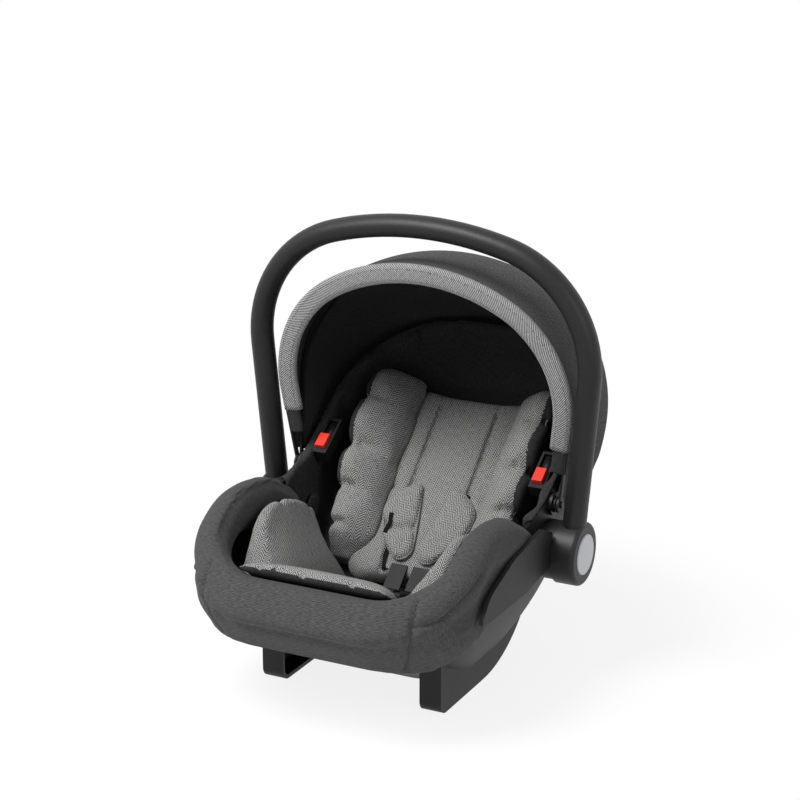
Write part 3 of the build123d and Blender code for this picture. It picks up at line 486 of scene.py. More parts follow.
# %% [markdown]
# ## Creases and cloth maps
# Thread pulls a sewn line in, so the points near it sink along their normals.  The weave needs a map in
# metres.  Pads are boxy, so each face is laid flat on the plane it is nearest to, which keeps the threads
# straight where an unwrapped map would stretch them.


# %% Creases and cloth maps
def crease(piece, path, width, depth):
    """Pulls a sewn line in: points within width of the path sink along their normals."""
    count = len(piece.data.vertices)
    places = np.empty(3 * count)
    normals = np.empty(3 * count)
    piece.data.vertices.foreach_get("co", places)
    piece.data.vertices.foreach_get("normal", normals)
    places = places.reshape(-1, 3)
    nearest = np.full(count, np.inf)
    for start, end in zip(path, path[1:]):
        run = np.array(end - start)
        share = np.clip((places - np.array(start)) @ run / max(run @ run, 1e-12), 0, 1)
        off = places - (np.array(start) + share[:, None] * run)
        nearest = np.minimum(nearest, np.linalg.norm(off, axis=1))
    sink = depth * np.exp(-(nearest / width) ** 2)
    places -= normals.reshape(-1, 3) * sink[:, None]
    piece.data.vertices.foreach_set("co", places.ravel())
    piece.data.update()


def map_cloth(piece, run, up):
    """Cloth map in metres: each face is laid on the plane that it is closest to, threads along run."""
    side = run.cross(up)
    planes = ((side, up, run), (up, side, run), (run, side, up))
    layer = piece.data.uv_layers.new(name=CLOTH_MAP)
    for face in piece.data.polygons:
        _, first, second = max(planes, key=lambda plane: abs(face.normal.dot(plane[0])))
        for index in face.loop_indices:
            place = piece.data.vertices[piece.data.loops[index].vertex_index].co
            layer.data[index].uv = (place.dot(first), place.dot(second))


print("cloth map is called", CLOTH_MAP)

# %% [markdown]
# ## Dressing
# A finished piece says which body carries it, which finish it has and which CAD nodes it stands for.  The
# seat is symmetric, so left-hand pads are mirrored, and a lining is a second material on some faces.


# %% Dressing, twins and linings
def dress(piece, body, slot, *replaced):
    """Finish, body and the CAD nodes that a piece stands for; one that bends between bodies gets no body."""
    if not piece.data.materials:
        piece.data.materials.append(shop[slot])
    if body:
        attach(piece, body)
    if replaced:
        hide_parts(*replaced)
    print(piece.name, len(piece.data.polygons), "faces on", body)


def mirrored(piece, name):
    """Left-hand copy of a right-hand piece."""
    form = bmesh.new()
    form.from_mesh(piece.data)
    for vertex in form.verts:
        vertex.co.x = -vertex.co.x
    bmesh.ops.reverse_faces(form, faces=form.faces)
    mesh = bpy.data.meshes.new(name)
    form.to_mesh(mesh)
    form.free()
    for material in piece.data.materials:
        mesh.materials.append(material)
    return new_piece(name, mesh)


def line_under(piece, tint, is_lining):
    """Second material on the faces that is_lining(centre, normal) picks."""
    piece.data.materials.append(shop[tint])
    for face in piece.data.polygons:
        if is_lining(face.center, face.normal):
            face.material_index = len(piece.data.materials) - 1


# %% [markdown]
# ## Springs
# Four springs get shorter when a button is pressed or a trigger pulled.  Each is a plain copy of its CAD
# coil.


def springy(name, node, slot):
    """Copy of a coil, smooth shaded and carried by the carrier body."""
    coil = cad_copy(name, node)
    coil.data.shade_smooth()
    dress(coil, "carrier", slot, node)
    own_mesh(coil)


for side, inwards in (("left", 1.0), ("right", -1.0)):
    springy(f"hub_coil_{side}", f"gear_spring_{side}", "steel")
    springy(f"trigger_coil_{side}", f"trigger_spring_{side}", "buckle_plastic")

# %% [markdown]
# ## Swept strips
# Bindings, straps and piping are one section carried along a line.  The sweep takes stations, each a
# point with two directions across, so that a strap can lie on a slope and a band can follow its bow.


# %% Sweeps
def swept(name, stations, section, closed=False):
    """Closed section carried along stations of (point, first direction, second direction)."""
    count = len(section)
    points = [p + a * s + b * t for p, a, b in stations for s, t in section]
    girth = [0.0]
    for i in range(count):
        girth.append(girth[-1] + (Vector(section[i]) - Vector(section[(i + 1) % count])).length)
    reach = [0.0]
    for (p, _, _), (q, _, _) in zip(stations, stations[1:] + stations[:1]):
        reach.append(reach[-1] + (q - p).length)
    rows = len(stations)
    faces = []
    spots = []
    for i in range(rows if closed else rows - 1):
        for j in range(count):
            k = (j + 1) % count
            nxt = (i + 1) % rows
            faces.append((i * count + j, i * count + k, nxt * count + k, nxt * count + j))
            spots += [(reach[i], girth[j]), (reach[i], girth[j + 1])]
            spots += [(reach[i + 1], girth[j + 1]), (reach[i + 1], girth[j])]
    if not closed:
        for row in (0, rows - 1):
            faces.append([row * count + j for j in range(count)])
            spots += [(reach[row] + s, t) for s, t in section]
    mesh = bpy.data.meshes.new(name)
    mesh.from_pydata(points, [], faces)
    layer = mesh.uv_layers.new(name=CLOTH_MAP)
    for loop, spot in zip(layer.data, spots):
        loop.uv = spot
    outward(mesh)
    mesh.shade_smooth()
    return new_piece(name, mesh)


def outward(mesh):
    form = bmesh.new()
    form.from_mesh(mesh)
    bmesh.ops.recalc_face_normals(form, faces=form.faces)
    form.to_mesh(mesh)
    form.free()


def oval(half_a, half_b, count=12, power=2.0):
    """Section between an ellipse and a rounded box."""
    spots = []
    for i in range(count):
        angle = 2 * pi * i / count
        c, s = cos(angle), sin(angle)
        grow = (abs(c) ** power + abs(s) ** power) ** (-1 / power)
        spots.append((half_a * c * grow, half_b * s * grow))
    return spots


def tube_stations(path, closed=False):
    """Stations for piping: directions carried along so that the tube doesn't twist."""
    stations = []
    side = None
    for i, point in enumerate(path):
        before = path[i - 1] if i or closed else point
        after = path[(i + 1) % len(path)] if i + 1 < len(path) or closed else point
        run = (after - before).normalized()
        side = run.orthogonal().normalized() if side is None else (side - run * side.dot(run)).normalized()
        stations.append((point, side, run.cross(side)))
    return stations


# %% [markdown]
# ## Stitches
# Thread shows on every seam.  One Geometry Nodes tree lays stitches along a curve: it resamples the
# curve at the stitch pitch, puts a small spindle on each point along the tangent, and makes it all real.


# %% Stitch tree
def stitch_tree():
    tree = bpy.data.node_groups.new("stitch_row", "GeometryNodeTree")
    tree.is_modifier = True
    face = tree.interface
    face.new_socket("Rows", in_out="INPUT", socket_type="NodeSocketGeometry")
    sizes = {}
    for name, size in (("Pitch", 0.0045), ("Length", 0.0032), ("Thread", 0.0005)):
        socket = face.new_socket(name, in_out="INPUT", socket_type="NodeSocketFloat")
        socket.default_value = size
        sizes[name] = socket.identifier
    socket = face.new_socket("Thread Finish", in_out="INPUT", socket_type="NodeSocketMaterial")
    sizes["Finish"] = socket.identifier
    face.new_socket("Stitches", in_out="OUTPUT", socket_type="NodeSocketGeometry")

    def add(kind, links, **settings):
        node = tree.nodes.new(kind)
        for name, value in settings.items():
            setattr(node, name, value)
        for key, source in links.items():
            tree.links.new(source, node.inputs[key])
        return node

    given = tree.nodes.new("NodeGroupInput").outputs
    rows_in = {"Curve": given["Rows"], "Length": given["Pitch"]}
    spaced = add("GeometryNodeResampleCurve", rows_in, mode="LENGTH")
    tangent = add("GeometryNodeInputTangent", {})
    turn = add("FunctionNodeAlignRotationToVector", {"Vector": tangent.outputs[0]}, axis="Z")
    ball = add("GeometryNodeMeshUVSphere", {"Radius": given["Thread"]})
    ball.inputs["Segments"].default_value = 6
    ball.inputs["Rings"].default_value = 4
    half = add("ShaderNodeMath", {0: given["Length"], 1: given["Thread"]}, operation="DIVIDE")
    long = add("ShaderNodeMath", {0: half.outputs[0]}, operation="MULTIPLY")
    long.inputs[1].default_value = 0.5
    stretch = add("ShaderNodeCombineXYZ", {"Z": long.outputs[0]})
    stretch.inputs["X"].default_value = 1.0
    stretch.inputs["Y"].default_value = 1.0
    laid = add("GeometryNodeInstanceOnPoints", {
        "Points": spaced.outputs[0], "Instance": ball.outputs[0],
        "Rotation": turn.outputs[0], "Scale": stretch.outputs[0]})
    real = add("GeometryNodeRealizeInstances", {"Geometry": laid.outputs[0]})
    tinted = add("GeometryNodeSetMaterial", {"Geometry": real.outputs[0], "Material": given["Thread Finish"]})
    add("NodeGroupOutput", {0: tinted.outputs[0]})
    return tree, sizes


stitches, stitch_inputs = stitch_tree()


def twisted(name, dark, light):
    """Finish of a sewing thread."""
    finish = Finish(name, {"Roughness": 0.7, "Specular IOR Level": 0.3})
    twist = finish.noise(finish.place(), 900.0)
    return finish.wear(finish.blend(twist, dark, light), None, twist, 0.0001)


shop["thread"] = twisted("sewing_thread", (0.10, 0.10, 0.10), (0.22, 0.22, 0.22))
shop["dark_thread"] = twisted("dark_thread", (0.02, 0.02, 0.02), (0.06, 0.06, 0.06))


def stitch(name, rows, body, slot, finish="thread", pitch=0.0045, length=0.0032, radius=0.0005):
    """Stitches along rows of points, one plain mesh on one body."""
    curve = bpy.data.curves.new(name, "CURVE")
    curve.dimensions = "3D"
    for row in rows:
        spline = curve.splines.new("POLY")
        spline.points.add(len(row) - 1)
        for point, place in zip(spline.points, row):
            point.co = (place.x, place.y, place.z, 1)
    lines = bpy.data.objects.new(name + "_rows", curve)
    scene.collection.objects.link(lines)
    tree = lines.modifiers.new("stitches", "NODES")
    tree.node_group = stitches
    for key, value in (("Pitch", pitch), ("Length", length), ("Thread", radius), ("Finish", shop[finish])):
        tree[stitch_inputs[key]] = value
    graph = bpy.context.evaluated_depsgraph_get()
    mesh = bpy.data.meshes.new_from_object(lines.evaluated_get(graph), depsgraph=graph)
    bpy.data.objects.remove(lines)
    mesh.shade_smooth()
    dress(new_piece(name, mesh), body, slot)


def skin(piece):
    """Search tree of a piece's surface."""
    mesh = piece.data
    return BVHTree.FromPolygons([v.co for v in mesh.vertices], [p.vertices for p in mesh.polygons])


def lay(surface, path, lift=0.0002):
    """Path dropped onto a surface and lifted by a hair."""
    laid = []
    for place in path:
        spot, normal, _, _ = surface.find_nearest(place)
        laid.append(spot + normal * lift)
    return laid


def between(a, b, count):
    return [a.lerp(b, i / (count - 1)) for i in range(count)]


print("stitch tree with inputs", list(stitch_inputs))

# %% [markdown]
# ## Canopy
# The hood is one cloth stretched over two bows and gathered behind onto the shell.  Every bow is the
# same arch leant about one pivot: a straight leg, a round corner and a flat crown.

# %% Bow arch
ARCH_BASE = 0.181
ARCH_SPLAY = radians(8)
ARCH_LEG = 0.100
ARCH_CORNER = 0.150
ARCH_TOP = 0.244


def arch(start, count):
    """Points and outward directions of half a bow, from the foot to the crown, in its own plane."""
    along = Vector((sin(ARCH_SPLAY), cos(ARCH_SPLAY)))
    out = Vector((cos(ARCH_SPLAY), -sin(ARCH_SPLAY)))
    foot = Vector((ARCH_BASE, 0)) + along * start
    knee = Vector((ARCH_BASE, 0)) + along * ARCH_LEG
    centre = knee - out * ARCH_CORNER
    crown = centre.y - sqrt((ARCH_TOP - ARCH_CORNER) ** 2 - centre.x ** 2)
    turn = atan2(centre.y - crown, centre.x)
    straight = ARCH_LEG - start
    bend = ARCH_CORNER * (turn + ARCH_SPLAY)
    cap = ARCH_TOP * (pi / 2 - turn)
    stations = []
    for i in range(count):
        s = (straight + bend + cap) * i / (count - 1)
        if s < straight:
            stations.append((foot + along * s, out))
        elif s < straight + bend:
            angle = (s - straight) / ARCH_CORNER - ARCH_SPLAY
            normal = Vector((cos(angle), sin(angle)))
            stations.append((centre + normal * ARCH_CORNER, normal))
        else:
            angle = turn + (s - straight - bend) / ARCH_TOP
            normal = Vector((cos(angle), sin(angle)))
            stations.append((Vector((0, crown)) + normal * ARCH_TOP, normal))
    return stations


def whole_arch(start, half_count):
    """Both halves, from the right foot over the crown to the left."""
    right = arch(start, half_count)
    return right + [(Vector((-p.x, p.y)), Vector((-n.x, n.y))) for p, n in reversed(right[:-1])]


def leant(point, lean):
    """Place of a point of the upright bow plane when leant forward."""
    return canopy_pivot + Vector((point.x, -point.y * sin(lean), point.y * cos(lean)))


print("crown of the bow over its pivot:", round(arch(0, 2)[-1][0].y, 4), "m")

# %% [markdown]
# ## Canopy sheet
# The sheet is the arch swept through the lean angles, a little slack between the bows and crowned behind
# the middle one.  Towards its hem it is drawn in to the shell, where elastic gathers it.

# %% Canopy sheet
FRONT_LEAN = radians(6)
MIDDLE_LEAN = radians(-18)
REAR_LEAN = radians(-68)
CROWN_HEM = radians(-76)
SIDE_HEM = radians(-112)
CROWN_RISE = 0.012
SLACK_DIP = 0.004
BOW_GAP = 0.0012
REAR_TUCK = 0.0078
HEM_GAP = 0.009
GATHER_DEPTH = 0.009
HEM_START = 0.018
ACROSS = 45
LEANS = 44
shell_mesh = nodes["carrier_shell"].data
shell_middle = hub + Vector((0, -0.05, 0.05))


def shell_side(sign):
    """Search tree of the shell's faces that look away from its middle (1) or towards it (-1)."""
    picked = [f.vertices for f in shell_mesh.polygons if sign * f.normal.dot(f.center - shell_middle) > 0]
    return BVHTree.FromPolygons([v.co for v in shell_mesh.vertices], picked)


shell_outside = shell_side(1)
shell_inside = shell_side(-1)
rows = []
for i in range(LEANS + 1):
    row = []
    for j, (point, normal) in enumerate(whole_arch(HEM_START, ACROSS)):
        flare = 1 - abs(j / (ACROSS - 1) - 1)
        hem_lean = SIDE_HEM + (CROWN_HEM - SIDE_HEM) * ease(flare, 0.08, 0.55)
        lean = FRONT_LEAN + (hem_lean - FRONT_LEAN) * i / LEANS
        back = ease(-lean, -FRONT_LEAN, -REAR_LEAN)
        drawn = ease(i / LEANS, 0.66, 1.0)
        if lean > MIDDLE_LEAN:
            slack = sin(pi * (FRONT_LEAN - lean) / (FRONT_LEAN - MIDDLE_LEAN)) ** 2
        else:
            slack = sin(pi * min((MIDDLE_LEAN - lean) / (MIDDLE_LEAN - REAR_LEAN), 1.0)) ** 2
        rise = CROWN_RISE * ease(-lean, 0.0, 0.5) * (1 - ease(-lean, 0.7, 1.25))
        offset = BOW_GAP - REAR_TUCK * back + (rise - SLACK_DIP * slack) * ease(flare, 0.1, 0.5)
        place = leant(point + normal * offset, lean)
        if drawn > 0:
            spot, side, _, _ = shell_outside.find_nearest(place)
            gather = GATHER_DEPTH * drawn * sin(j * 1.7) * (1 - 0.5 * drawn)
            hem = spot + side * (HEM_GAP + gather)
            place = place.lerp(hem, 0.96 * drawn)
        row.append(place)
    rows.append(row)
width = 2 * ACROSS - 1
print("canopy sheet of", len(rows), "by", width, "points")

# %% [markdown]
# ## Canopy cloth
# The sheet becomes cloth with a thickness, charcoal outside and black inside.  Its front edge follows the
# front bow and its rear edge the shell, and the cloth between is shared out.

# %% Canopy cloth
CLOTH_THICK = 0.0018
faces = []
for i in range(LEANS):
    for j in range(width - 1):
        a = i * width + j
        faces.append((a, a + 1, a + width + 1, a + width))
canopy_mesh = bpy.data.meshes.new("canopy_cloth")
canopy_mesh.from_pydata([place for row in rows for place in row], [], faces)
outward(canopy_mesh)
canopy = new_piece("canopy_cloth", canopy_mesh)
if canopy_mesh.polygons[width // 2].normal.z < 0:
    canopy_mesh.flip_normals()
arc = sum((b - a).length for a, b in zip(rows[0], rows[0][1:]))
meridian = sum((b[ACROSS] - a[ACROSS]).length for a, b in zip(rows, rows[1:]))
layer = canopy_mesh.uv_layers.new(name=CLOTH_MAP)
for loop in canopy_mesh.loops:
    i, j = divmod(loop.vertex_index, width)
    layer.data[loop.index].uv = (arc * j / (width - 1), meridian * i / LEANS)
canopy_mesh.materials.append(shop["canopy_fabric"])
canopy_mesh.materials.append(shop["liner_fabric"])
finer = canopy.modifiers.new("finer", "SUBSURF")
finer.levels = finer.render_levels = 1
thicken = canopy.modifiers.new("cloth", "SOLIDIFY")
thicken.thickness = CLOTH_THICK
thicken.offset = -1
thicken.material_offset = 1
settle(canopy)
canopy.data.shade_smooth()
dress(canopy, None, "canopy_fabric", "canopy_front_panel", "canopy_mid_panel", "canopy_rear_panel")
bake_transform(canopy)

# %% [markdown]
# ## Edge band
# The light binding is folded round the front bow and turned in, so that its broad side faces the front.
# It is slightly padded: the section is a rounded box, with a row of stitches near each edge.

# %% Edge band
BAND_OUT = 0.0035
BAND_IN = 0.0215
BAND_HALF = 0.0056
BAND_START = 0.072
band_middle = (BAND_OUT - BAND_IN) / 2
band_reach = (BAND_OUT + BAND_IN) / 2
band_section = [(band_middle + band_reach * a, BAND_HALF * b) for a, b in oval(1, 1, 24, 3.0)]
band_lean = Vector((0, -sin(FRONT_LEAN), cos(FRONT_LEAN)))
band_front = Vector((0, -cos(FRONT_LEAN), -sin(FRONT_LEAN)))


def on_front_bow(point, normal):
    """Station on the front bow: its place, outwards and forwards."""
    return leant(point, FRONT_LEAN), Vector((normal.x, 0, 0)) + band_lean * normal.y, band_front


stations = [on_front_bow(point, normal) for point, normal in whole_arch(BAND_START, 60)]
band = swept("edge_band", stations, band_section)
dress(band, "canopy_front", "band_fabric", "canopy_edge_band")
band_skin = skin(band)
band_rows = []
for share in (-0.78, 0.72):
    out = band_middle + band_reach * share
    row = [place + radial * out + front * 0.02 for place, radial, front in stations]
    band_rows.append(lay(band_skin, row))
stitch("band_stitches", band_rows, "canopy_front", "band_fabric")

# %% [markdown]
# ## Sleeves
# Below the ends of the band the bow wears a black sleeve.  It has no folds to show, so a swept box will do.

# %% Sleeves on the feet of the front bow
SLEEVE_START = 0.042
SLEEVE_LENGTH = 0.034
SLEEVE_MIDDLE = -0.0075
SLEEVE_REACH = 0.0095
SLEEVE_HALF = 0.0046
sleeve_section = [(SLEEVE_MIDDLE + SLEEVE_REACH * a, SLEEVE_HALF * b) for a, b in oval(1, 1, 20, 2.6)]
half_bow = arch(SLEEVE_START, 160)
foot_of_bow = [(p, n) for p, n in half_bow if (p - half_bow[0][0]).length < SLEEVE_LENGTH]
for side, sign in (("left", -1), ("right", 1)):
    stations = [on_front_bow(Vector((sign * p.x, p.y)), Vector((sign * n.x, n.y))) for p, n in foot_of_bow]
    sleeve = swept(f"bow_sleeve_{side}", stations, sleeve_section)
    dress(sleeve, "canopy_front", "liner_fabric")

# %% [markdown]
# ## Liner
# Black cloth lies over the foam and the walls and rolls over the rim.  Foam and liner are one skin to
# the eye, so both solids are remeshed together, and the cloth on the side walls hangs in soft folds.

# %% Liner
LINER_CELL = 0.0034
LINER_GAP = 0.0014
FOLD_RISE = 0.001
FOLD_DEPTH = 0.0016


def folds(place):
    """Depth of the slack folds on the side walls."""
    run = place.y - hub.y
    high = ease(place.z - hub.z, 0.0, 0.07)
    sway = sin(95 * run + 60 * place.z) + 0.6 * sin(151 * run - 88 * place.z + 1.3)
    return FOLD_DEPTH * high * sway


def keep_off(piece, surface, gap, reach=0.012):
    """Moves points that touch or cross a surface to its outer side."""
    for vertex in piece.data.vertices:
        spot, normal, _, distance = surface.find_nearest(vertex.co)
        if distance < reach:
            depth = (vertex.co - spot).dot(normal)
            if depth < gap:
                vertex.co += normal * (gap - depth)


liner = cad_copy("seat_lining", "seat_liner", "foam_seat")
remesh(liner, LINER_CELL)
relax(liner, 0.5, 4)
for vertex, normal in zip(liner.data.vertices, normals_of(liner)):
    inward = -normal.x * (1 if vertex.co.x > 0 else -1)
    if inward > 0.5:
        vertex.co += normal * (FOLD_RISE + folds(vertex.co))
keep_off(liner, shell_inside, LINER_GAP)
liner.data.shade_smooth()
map_cloth(liner, Vector((0, 1, 0)), Vector((0, 0, 1)))
dress(liner, "carrier", "liner_fabric", "seat_liner", "foam_seat")

# %% [markdown]
# ## Patches over the hub bolts
# A round black patch hides the end of each hub bolt inside the seat.  A flattened ball gives a soft disc.

# %% Patches over the hub bolts
BOLT_PATCH = 0.017
PATCH_FLAT = 0.2
for side in ("left", "right"):
    bolt = [Vector(corner) for corner in nodes[f"pivot_pin_{side}"].bound_box]
    inner = min((corner.x for corner in bolt), key=abs)
    form = bmesh.new()
    bmesh.ops.create_uvsphere(form, u_segments=28, v_segments=14, radius=BOLT_PATCH)
    for vertex in form.verts:
        vertex.co = Vector((inner + vertex.co.x * PATCH_FLAT, hub.y + vertex.co.y, hub.z + vertex.co.z))
    patch_mesh = bpy.data.meshes.new(f"bolt_patch_{side}")
    form.to_mesh(patch_mesh)
    form.free()
    patch_mesh.shade_smooth()
    patch = new_piece(f"bolt_patch_{side}", patch_mesh)
    map_cloth(patch, Vector((0, 1, 0)), Vector((0, 0, 1)))
    dress(patch, "carrier", "liner_fabric")

# %% [markdown]
# ## Foot cover
# A stuffed roll goes round the foot rim and runs into a quilted skirt.  The cover swells outwards only, and
# hardly at all under the belt guide arms.  The neck between roll and skirt is filled, the roll is slimmed
# on its inner side and its crest is raised where it comes back to the hubs.

# %% Foot cover
COVER_CELL = 0.005
COVER_SWELL = 0.0055
LESS_UNDER_ARM = 0.005
ROLL_TRIM = 0.008
NECK_FILL = 0.009
CREST_RISE = 0.007
cover = cad_copy("foot_cover_quilt", "foot_cover")


def under_arm(place):
    """0 before the belt guide arms and 1 beside them."""
    return ease(place.y - hub.y, -0.245, -0.205)


def cover_room(place, normal):
    outside = max(abs(place.x) - 0.165, hub.y - 0.292 - place.y)
    most = COVER_SWELL - LESS_UNDER_ARM * (under_arm(place) * (1 - ease(place.z - hub.z, 0.045, 0.06)))
    sides = ease(outside, -0.006, 0.004) * ease(normal.z, -0.9, -0.2)
    return most * max(sides, ease(normal.z, 0.2, 0.8))


stuff(cover, COVER_CELL, cover_room)
for vertex, normal in zip(cover.data.vertices, normals_of(cover)):
    side = 1 if vertex.co.x > 0 else -1
    level = vertex.co.z - hub.z
    run = vertex.co.y - hub.y
    inward = -side * normal.x
    flat = Vector((normal.x, normal.y, 0))
    neck = ease(level, -0.065, -0.03) * (1 - ease(level, -0.02, 0.01)) * ease(max(-inward, -flat.y), 0.2, 0.6)
    neck *= 1 - under_arm(vertex.co)
    crest = ease(run, -0.21, -0.14) * (1 - ease(run, -0.12, -0.08)) * ease(normal.z, 0.0, 0.6)
    vertex.co.x += side * ROLL_TRIM * ease(inward, 0.1, 0.8)
    vertex.co += flat * (NECK_FILL * neck) + Vector((0, 0, CREST_RISE)) * crest
cover.data.update()

# %% [markdown]
# ## Seams of the cover
# A seam goes down at each front corner, and a branch of it runs back along the side under the roll.  Both
# are given as turns in millimetres from the hub axis, laid on the cover, pulled in and stitched.

# %% Cover seams
COVER_SEAM_WIDTH = 0.0032
COVER_SEAM_DEPTH = 0.003
CORNER_SEAM = (
    (134, -277, 26), (135, -287, 17), (135, -292, 2), (130, -289, -17), (124, -281, -39), (119, -278, -60))
BRANCH_SEAM = (
    (136, -292, 1), (146, -284, 1), (159, -272, 4), (170, -258, 15), (178, -243, 27), (183, -213, 44))
cover_skin = skin(cover)
seam_lines = []
for seam in (CORNER_SEAM, BRANCH_SEAM):
    for side in (-1, 1):
        turns = [hub + Vector((side * x, y, z)) / 1000 for x, y, z in seam]
        line = [place for a, b in zip(turns, turns[1:]) for place in between(a, b, 8)]
        seam_lines.append(lay(cover_skin, line, 0.0))
for seam in seam_lines:
    crease(cover, seam[::3], COVER_SEAM_WIDTH, COVER_SEAM_DEPTH)
map_cloth(cover, Vector((1, 0, 0)), Vector((0, 0, 1)))
dress(cover, "carrier", "cover_fabric", "foot_cover")
cover_skin = skin(cover)
cover_rows = [lay(cover_skin, seam) for seam in seam_lines]
stitch("cover_stitches", cover_rows, "carrier", "cover_fabric", "dark_thread")

# %% [markdown]
# ## Padded insert
# The reducer for a newborn has a back pad, a seat pad that laps over the foot roll, and four wings.  All
# lie on the foam, whose back and seat planes meet at a crease, so places on them are given along those
# planes.  The face is herringbone, and the undersides of lip and wings are black.

# %% Planes of the foam
BACK_ANGLE = radians(43)
SEAT_ANGLE = radians(21)
fold_line = hub + Vector((0, -0.058, -0.115))
back_run = Vector((0, cos(BACK_ANGLE), sin(BACK_ANGLE)))
back_up = Vector((0, -sin(BACK_ANGLE), cos(BACK_ANGLE)))
seat_run = Vector((0, -cos(SEAT_ANGLE), sin(SEAT_ANGLE)))
seat_up = Vector((0, sin(SEAT_ANGLE), cos(SEAT_ANGLE)))


def on_back(x, along, up):
    return fold_line + Vector((x, 0, 0)) + back_run * along + back_up * up


def on_seat(x, along, up):
    return fold_line + Vector((x, 0, 0)) + seat_run * along + seat_up * up


def swell(up, most):
    """Room that grows from the resting side to the free side."""
    return lambda place, normal: most * ease(normal.dot(up), -0.6, 0.3)


print("foam crease at", [round(v, 4) for v in fold_line])

# %% [markdown]
# ## Back and seat pads
# The back pad is quilted by two sewn channels with a row of stitches on each side.  The lip of the seat pad
# has three small tucks.  Both pads are stuffed first, because thread pulls in what the filling pushes out.

# %% Back and seat pads
PAD_CELL = 0.004
PAD_SWELL = 0.006
CHANNEL_X = 0.04
CHANNEL_PULL = 0.0035
STITCH_OFF = 0.0045
TUCK_PULL = 0.0045


def channel(x):
    """Sewn line along the back pad."""
    return [on_back(x, 0.06 + 0.01 * i, 0.03) for i in range(27)]


back_pad = stuff(cad_copy("back_cushion", "insert_back_pad"), PAD_CELL, swell(back_up, PAD_SWELL))
back_skin = skin(back_pad)
for x in (-CHANNEL_X, CHANNEL_X):
    crease(back_pad, lay(back_skin, channel(x), 0.0)[::3], CHANNEL_PULL, CHANNEL_PULL)
map_cloth(back_pad, back_run, back_up)
dress(back_pad, "carrier", "insert_fabric", "insert_back_pad")
back_skin = skin(back_pad)
rows = []
for x in (-CHANNEL_X, CHANNEL_X):
    rows += [lay(back_skin, channel(x + off)) for off in (-STITCH_OFF, STITCH_OFF)]
stitch("back_stitches", rows, "carrier", "insert_fabric")

LIP_TUCKS = (-0.068, -0.012, 0.052)
seat_pad = stuff(cad_copy("seat_cushion", "insert_seat_pad"), PAD_CELL, swell(seat_up, PAD_SWELL))
lip = min((v.co for v in seat_pad.data.vertices), key=lambda place: place.y).copy()
for x in LIP_TUCKS:
    tuck = [Vector((x, lip.y + y, lip.z + z)) for y, z in ((0, -0.03), (-0.004, 0), (0.012, 0.014))]
    crease(seat_pad, tuck, TUCK_PULL, TUCK_PULL)
map_cloth(seat_pad, seat_run, seat_up)
seat_pad.data.materials.append(shop["insert_fabric"])
line_under(seat_pad, "liner_fabric", lambda centre, normal: normal.dot(seat_up) < 0.1)
dress(seat_pad, "carrier", "insert_fabric", "insert_seat_pad")

# %% [markdown]
# ## Wings
# Four wings stand up from the pads, and thread tufts pull their tops in.  Each right-hand wing is stuffed,
# set to its pad and lined, and the left-hand one is its mirror image.

# %% Wings
TUFTS = {
    "back_wing": [(0.100, 0.062), (0.148, 0.074), (0.206, 0.084), (0.276, 0.09)],
    "leg_wing": [(0.060, 0.134), (0.128, 0.136)],
}
LINING_EDGE = {"back_wing": 0.120, "leg_wing": 0.132}
WING_SWELL = 0.009
TUFT_WIDTH = 0.006
TUFT_DEPTH = 0.007
TORSO_LAP = 0.010
TORSO_SHIFT = 0.008
THIGH_RISE = 0.012
THIGH_LEAN = 0.030
THIGH_FOOT = 0.022


def closer_torso(place):
    """Torso wing with a broader foot on the back pad, nearer to the middle at its lower end."""
    foot = 1 - ease(place.x, 0.085, 0.128)
    low = 1 - ease((place - fold_line).dot(back_run), 0.10, 0.20)
    return Vector((-TORSO_LAP * foot - TORSO_SHIFT * low, 0, 0))


def fuller_thigh(place):
    """Thigh wing with a fuller foot, a rear end that leans back and a higher top."""
    height = (place - fold_line).dot(seat_up)
    low = 1 - ease(height, 0.03, 0.125)
    rear = 1 - ease((place - fold_line).dot(seat_run), 0.05, 0.14)
    inner = 1 - ease(place.x, 0.100, 0.125)
    rise = seat_up * (THIGH_RISE * (1 - low))
    return rise - seat_run * (THIGH_LEAN * rear * low) - Vector((THIGH_FOOT * low * inner, 0, 0))


for node, name, up in (("insert_back_wing", "back_wing", back_up), ("insert_leg_wing", "leg_wing", seat_up)):
    run = back_run if up is back_up else seat_run
    on_plane, reshape = (on_back, closer_torso) if up is back_up else (on_seat, fuller_thigh)
    free = (up - Vector((0.5, 0, 0))).normalized()
    wing = stuff(cad_copy(name + "_right", node + "_right"), PAD_CELL, swell(free, WING_SWELL), soften=9)
    for vertex in wing.data.vertices:
        vertex.co += reshape(vertex.co)
    wing.data.update()
    for along, height in TUFTS[name]:
        tuft = [on_plane(0.100, along, height - 0.028), on_plane(0.114, along, height),
                on_plane(0.128, along, height - 0.008), on_plane(0.128, along, height - 0.05)]
        crease(wing, [place + reshape(place) for place in tuft], TUFT_WIDTH, TUFT_DEPTH)
    wing.data.materials.append(shop["insert_fabric"])
    edge = LINING_EDGE[name]
    line_under(wing, "liner_fabric", lambda centre, normal: normal.dot(up) < -0.3 or
               (normal.x > 0.15 and centre.x > edge))
    twin = mirrored(wing, name + "_left")
    for piece, side in ((wing, "right"), (twin, "left")):
        map_cloth(piece, run, up)
        piece.data.shade_smooth()
        dress(piece, "carrier", "insert_fabric", f"{node}_{side}")

# %% [markdown]
# ## Harness
# Two webbing straps come out of the back pad and meet in the buckle, which a third strap holds from the
# seat.  Webbing is flat and even, so it is swept.

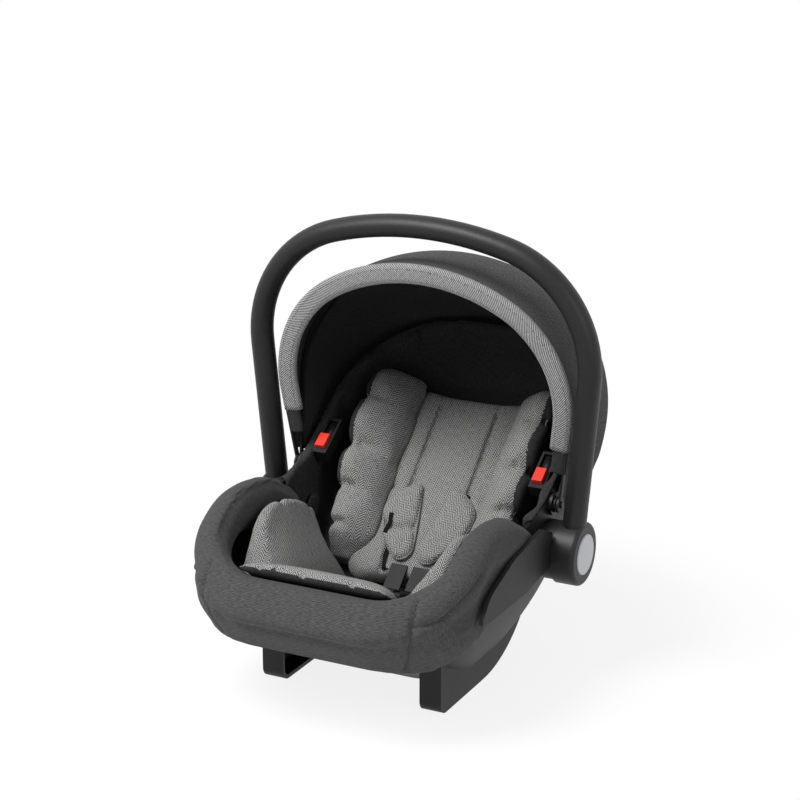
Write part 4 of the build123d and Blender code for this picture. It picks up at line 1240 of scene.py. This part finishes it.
# %% Straps
STRAP_HALF = 0.019
STRAP_LEVEL = 0.0271
RIGHTWARD = Vector((1, 0, 0))
strap_section = oval(0.0008, STRAP_HALF, 16, 6.0)
for side, sign in (("left", -1), ("right", 1)):
    top = on_back(sign * 0.048, 0.178, STRAP_LEVEL)
    low = on_back(sign * 0.020, 0.064, STRAP_LEVEL)
    run = (top - low).normalized()
    broad = run.cross(back_up)
    stations = [(p, back_up, broad) for p in between(low, top, 14)]
    stations += [(top - back_up * depth + run * 0.001, run, broad) for depth in (0.006, 0.02)]
    strap = swept(f"harness_strap_{side}", stations, strap_section)
    dress(strap, "carrier", "webbing", f"shoulder_strap_{side}")
crotch_path = [on_seat(0, 0.0625, 0.036), on_seat(0, 0.072, 0.0355), on_seat(0, 0.0778, 0.032)]
crotch_path.append(on_seat(0, 0.078, 0.004))
crotch_faces = (seat_up, seat_up, (seat_up + seat_run).normalized(), seat_run)
stations = [(place, face, RIGHTWARD) for place, face in zip(crotch_path, crotch_faces)]
crotch = swept("buckle_strap", stations, strap_section)
dress(crotch, "carrier", "webbing", "crotch_strap")

# %% [markdown]
# ## Leaf pads
# A leaf-shaped pad lies over each shoulder strap, stuffed, with a welt round its edge.  The welt is a thin
# tube along the outermost points of the pad.  The left pad is creased across and carries a blank tag.


# %% Leaf pads
def girth_line(piece, first, second, up, level, count=72):
    """Line round a flat piece, through its outermost points as seen along up, at one level."""
    line = []
    for i in range(count):
        angle = 2 * pi * i / count
        way = first * cos(angle) + second * sin(angle)
        spot = max((v.co for v in piece.data.vertices), key=way.dot)
        line.append(spot + up * (level - (spot - fold_line).dot(up)))
    smooth = [line[0]]
    for spot in line[1:]:
        if (spot - smooth[-1]).length > 0.002:
            smooth.append(spot)
    for _ in range(6):
        smooth = [0.5 * b + 0.25 * (a + c) for a, b, c in
                  zip(smooth[-1:] + smooth[:-1], smooth, smooth[1:] + smooth[:1])]
    return smooth


LEAF_CELL = 0.003
LEAF_SWELL = 0.004
LEAF_LEVEL = 0.0345
WELT_RADIUS = 0.0019
leaf = stuff(cad_copy("leaf_pad_right", "shoulder_pad_right"), LEAF_CELL, swell(back_up, LEAF_SWELL))
leaf.data.materials.append(shop["insert_fabric"])
twin = mirrored(leaf, "leaf_pad_left")
fold = [on_back(-0.062, 0.118, 0.04), on_back(-0.034, 0.112, 0.042), on_back(-0.01, 0.12, 0.04)]
crease(twin, lay(skin(twin), fold, 0.0), 0.006, 0.005)
for piece, side in ((leaf, "right"), (twin, "left")):
    map_cloth(piece, (back_run + Vector((0.4, 0, 0))).normalized(), back_up)
    piece.data.shade_smooth()
    dress(piece, "carrier", "insert_fabric", f"shoulder_pad_{side}")
    line = girth_line(piece, RIGHTWARD, back_run, back_up, LEAF_LEVEL)
    welt = swept(f"leaf_welt_{side}", tube_stations(line, True), oval(WELT_RADIUS, WELT_RADIUS, 8), True)
    dress(welt, "carrier", "insert_fabric")

tag_path = lay(skin(twin), [on_back(-0.046, 0.104 + 0.004 * i, 0.05) for i in range(8)], 0.0006)
tag_stations = [(p, back_up, RIGHTWARD) for p in tag_path]
dress(swept("pad_tag", tag_stations, oval(0.0005, 0.003, 12, 6.0)), "carrier", "webbing")
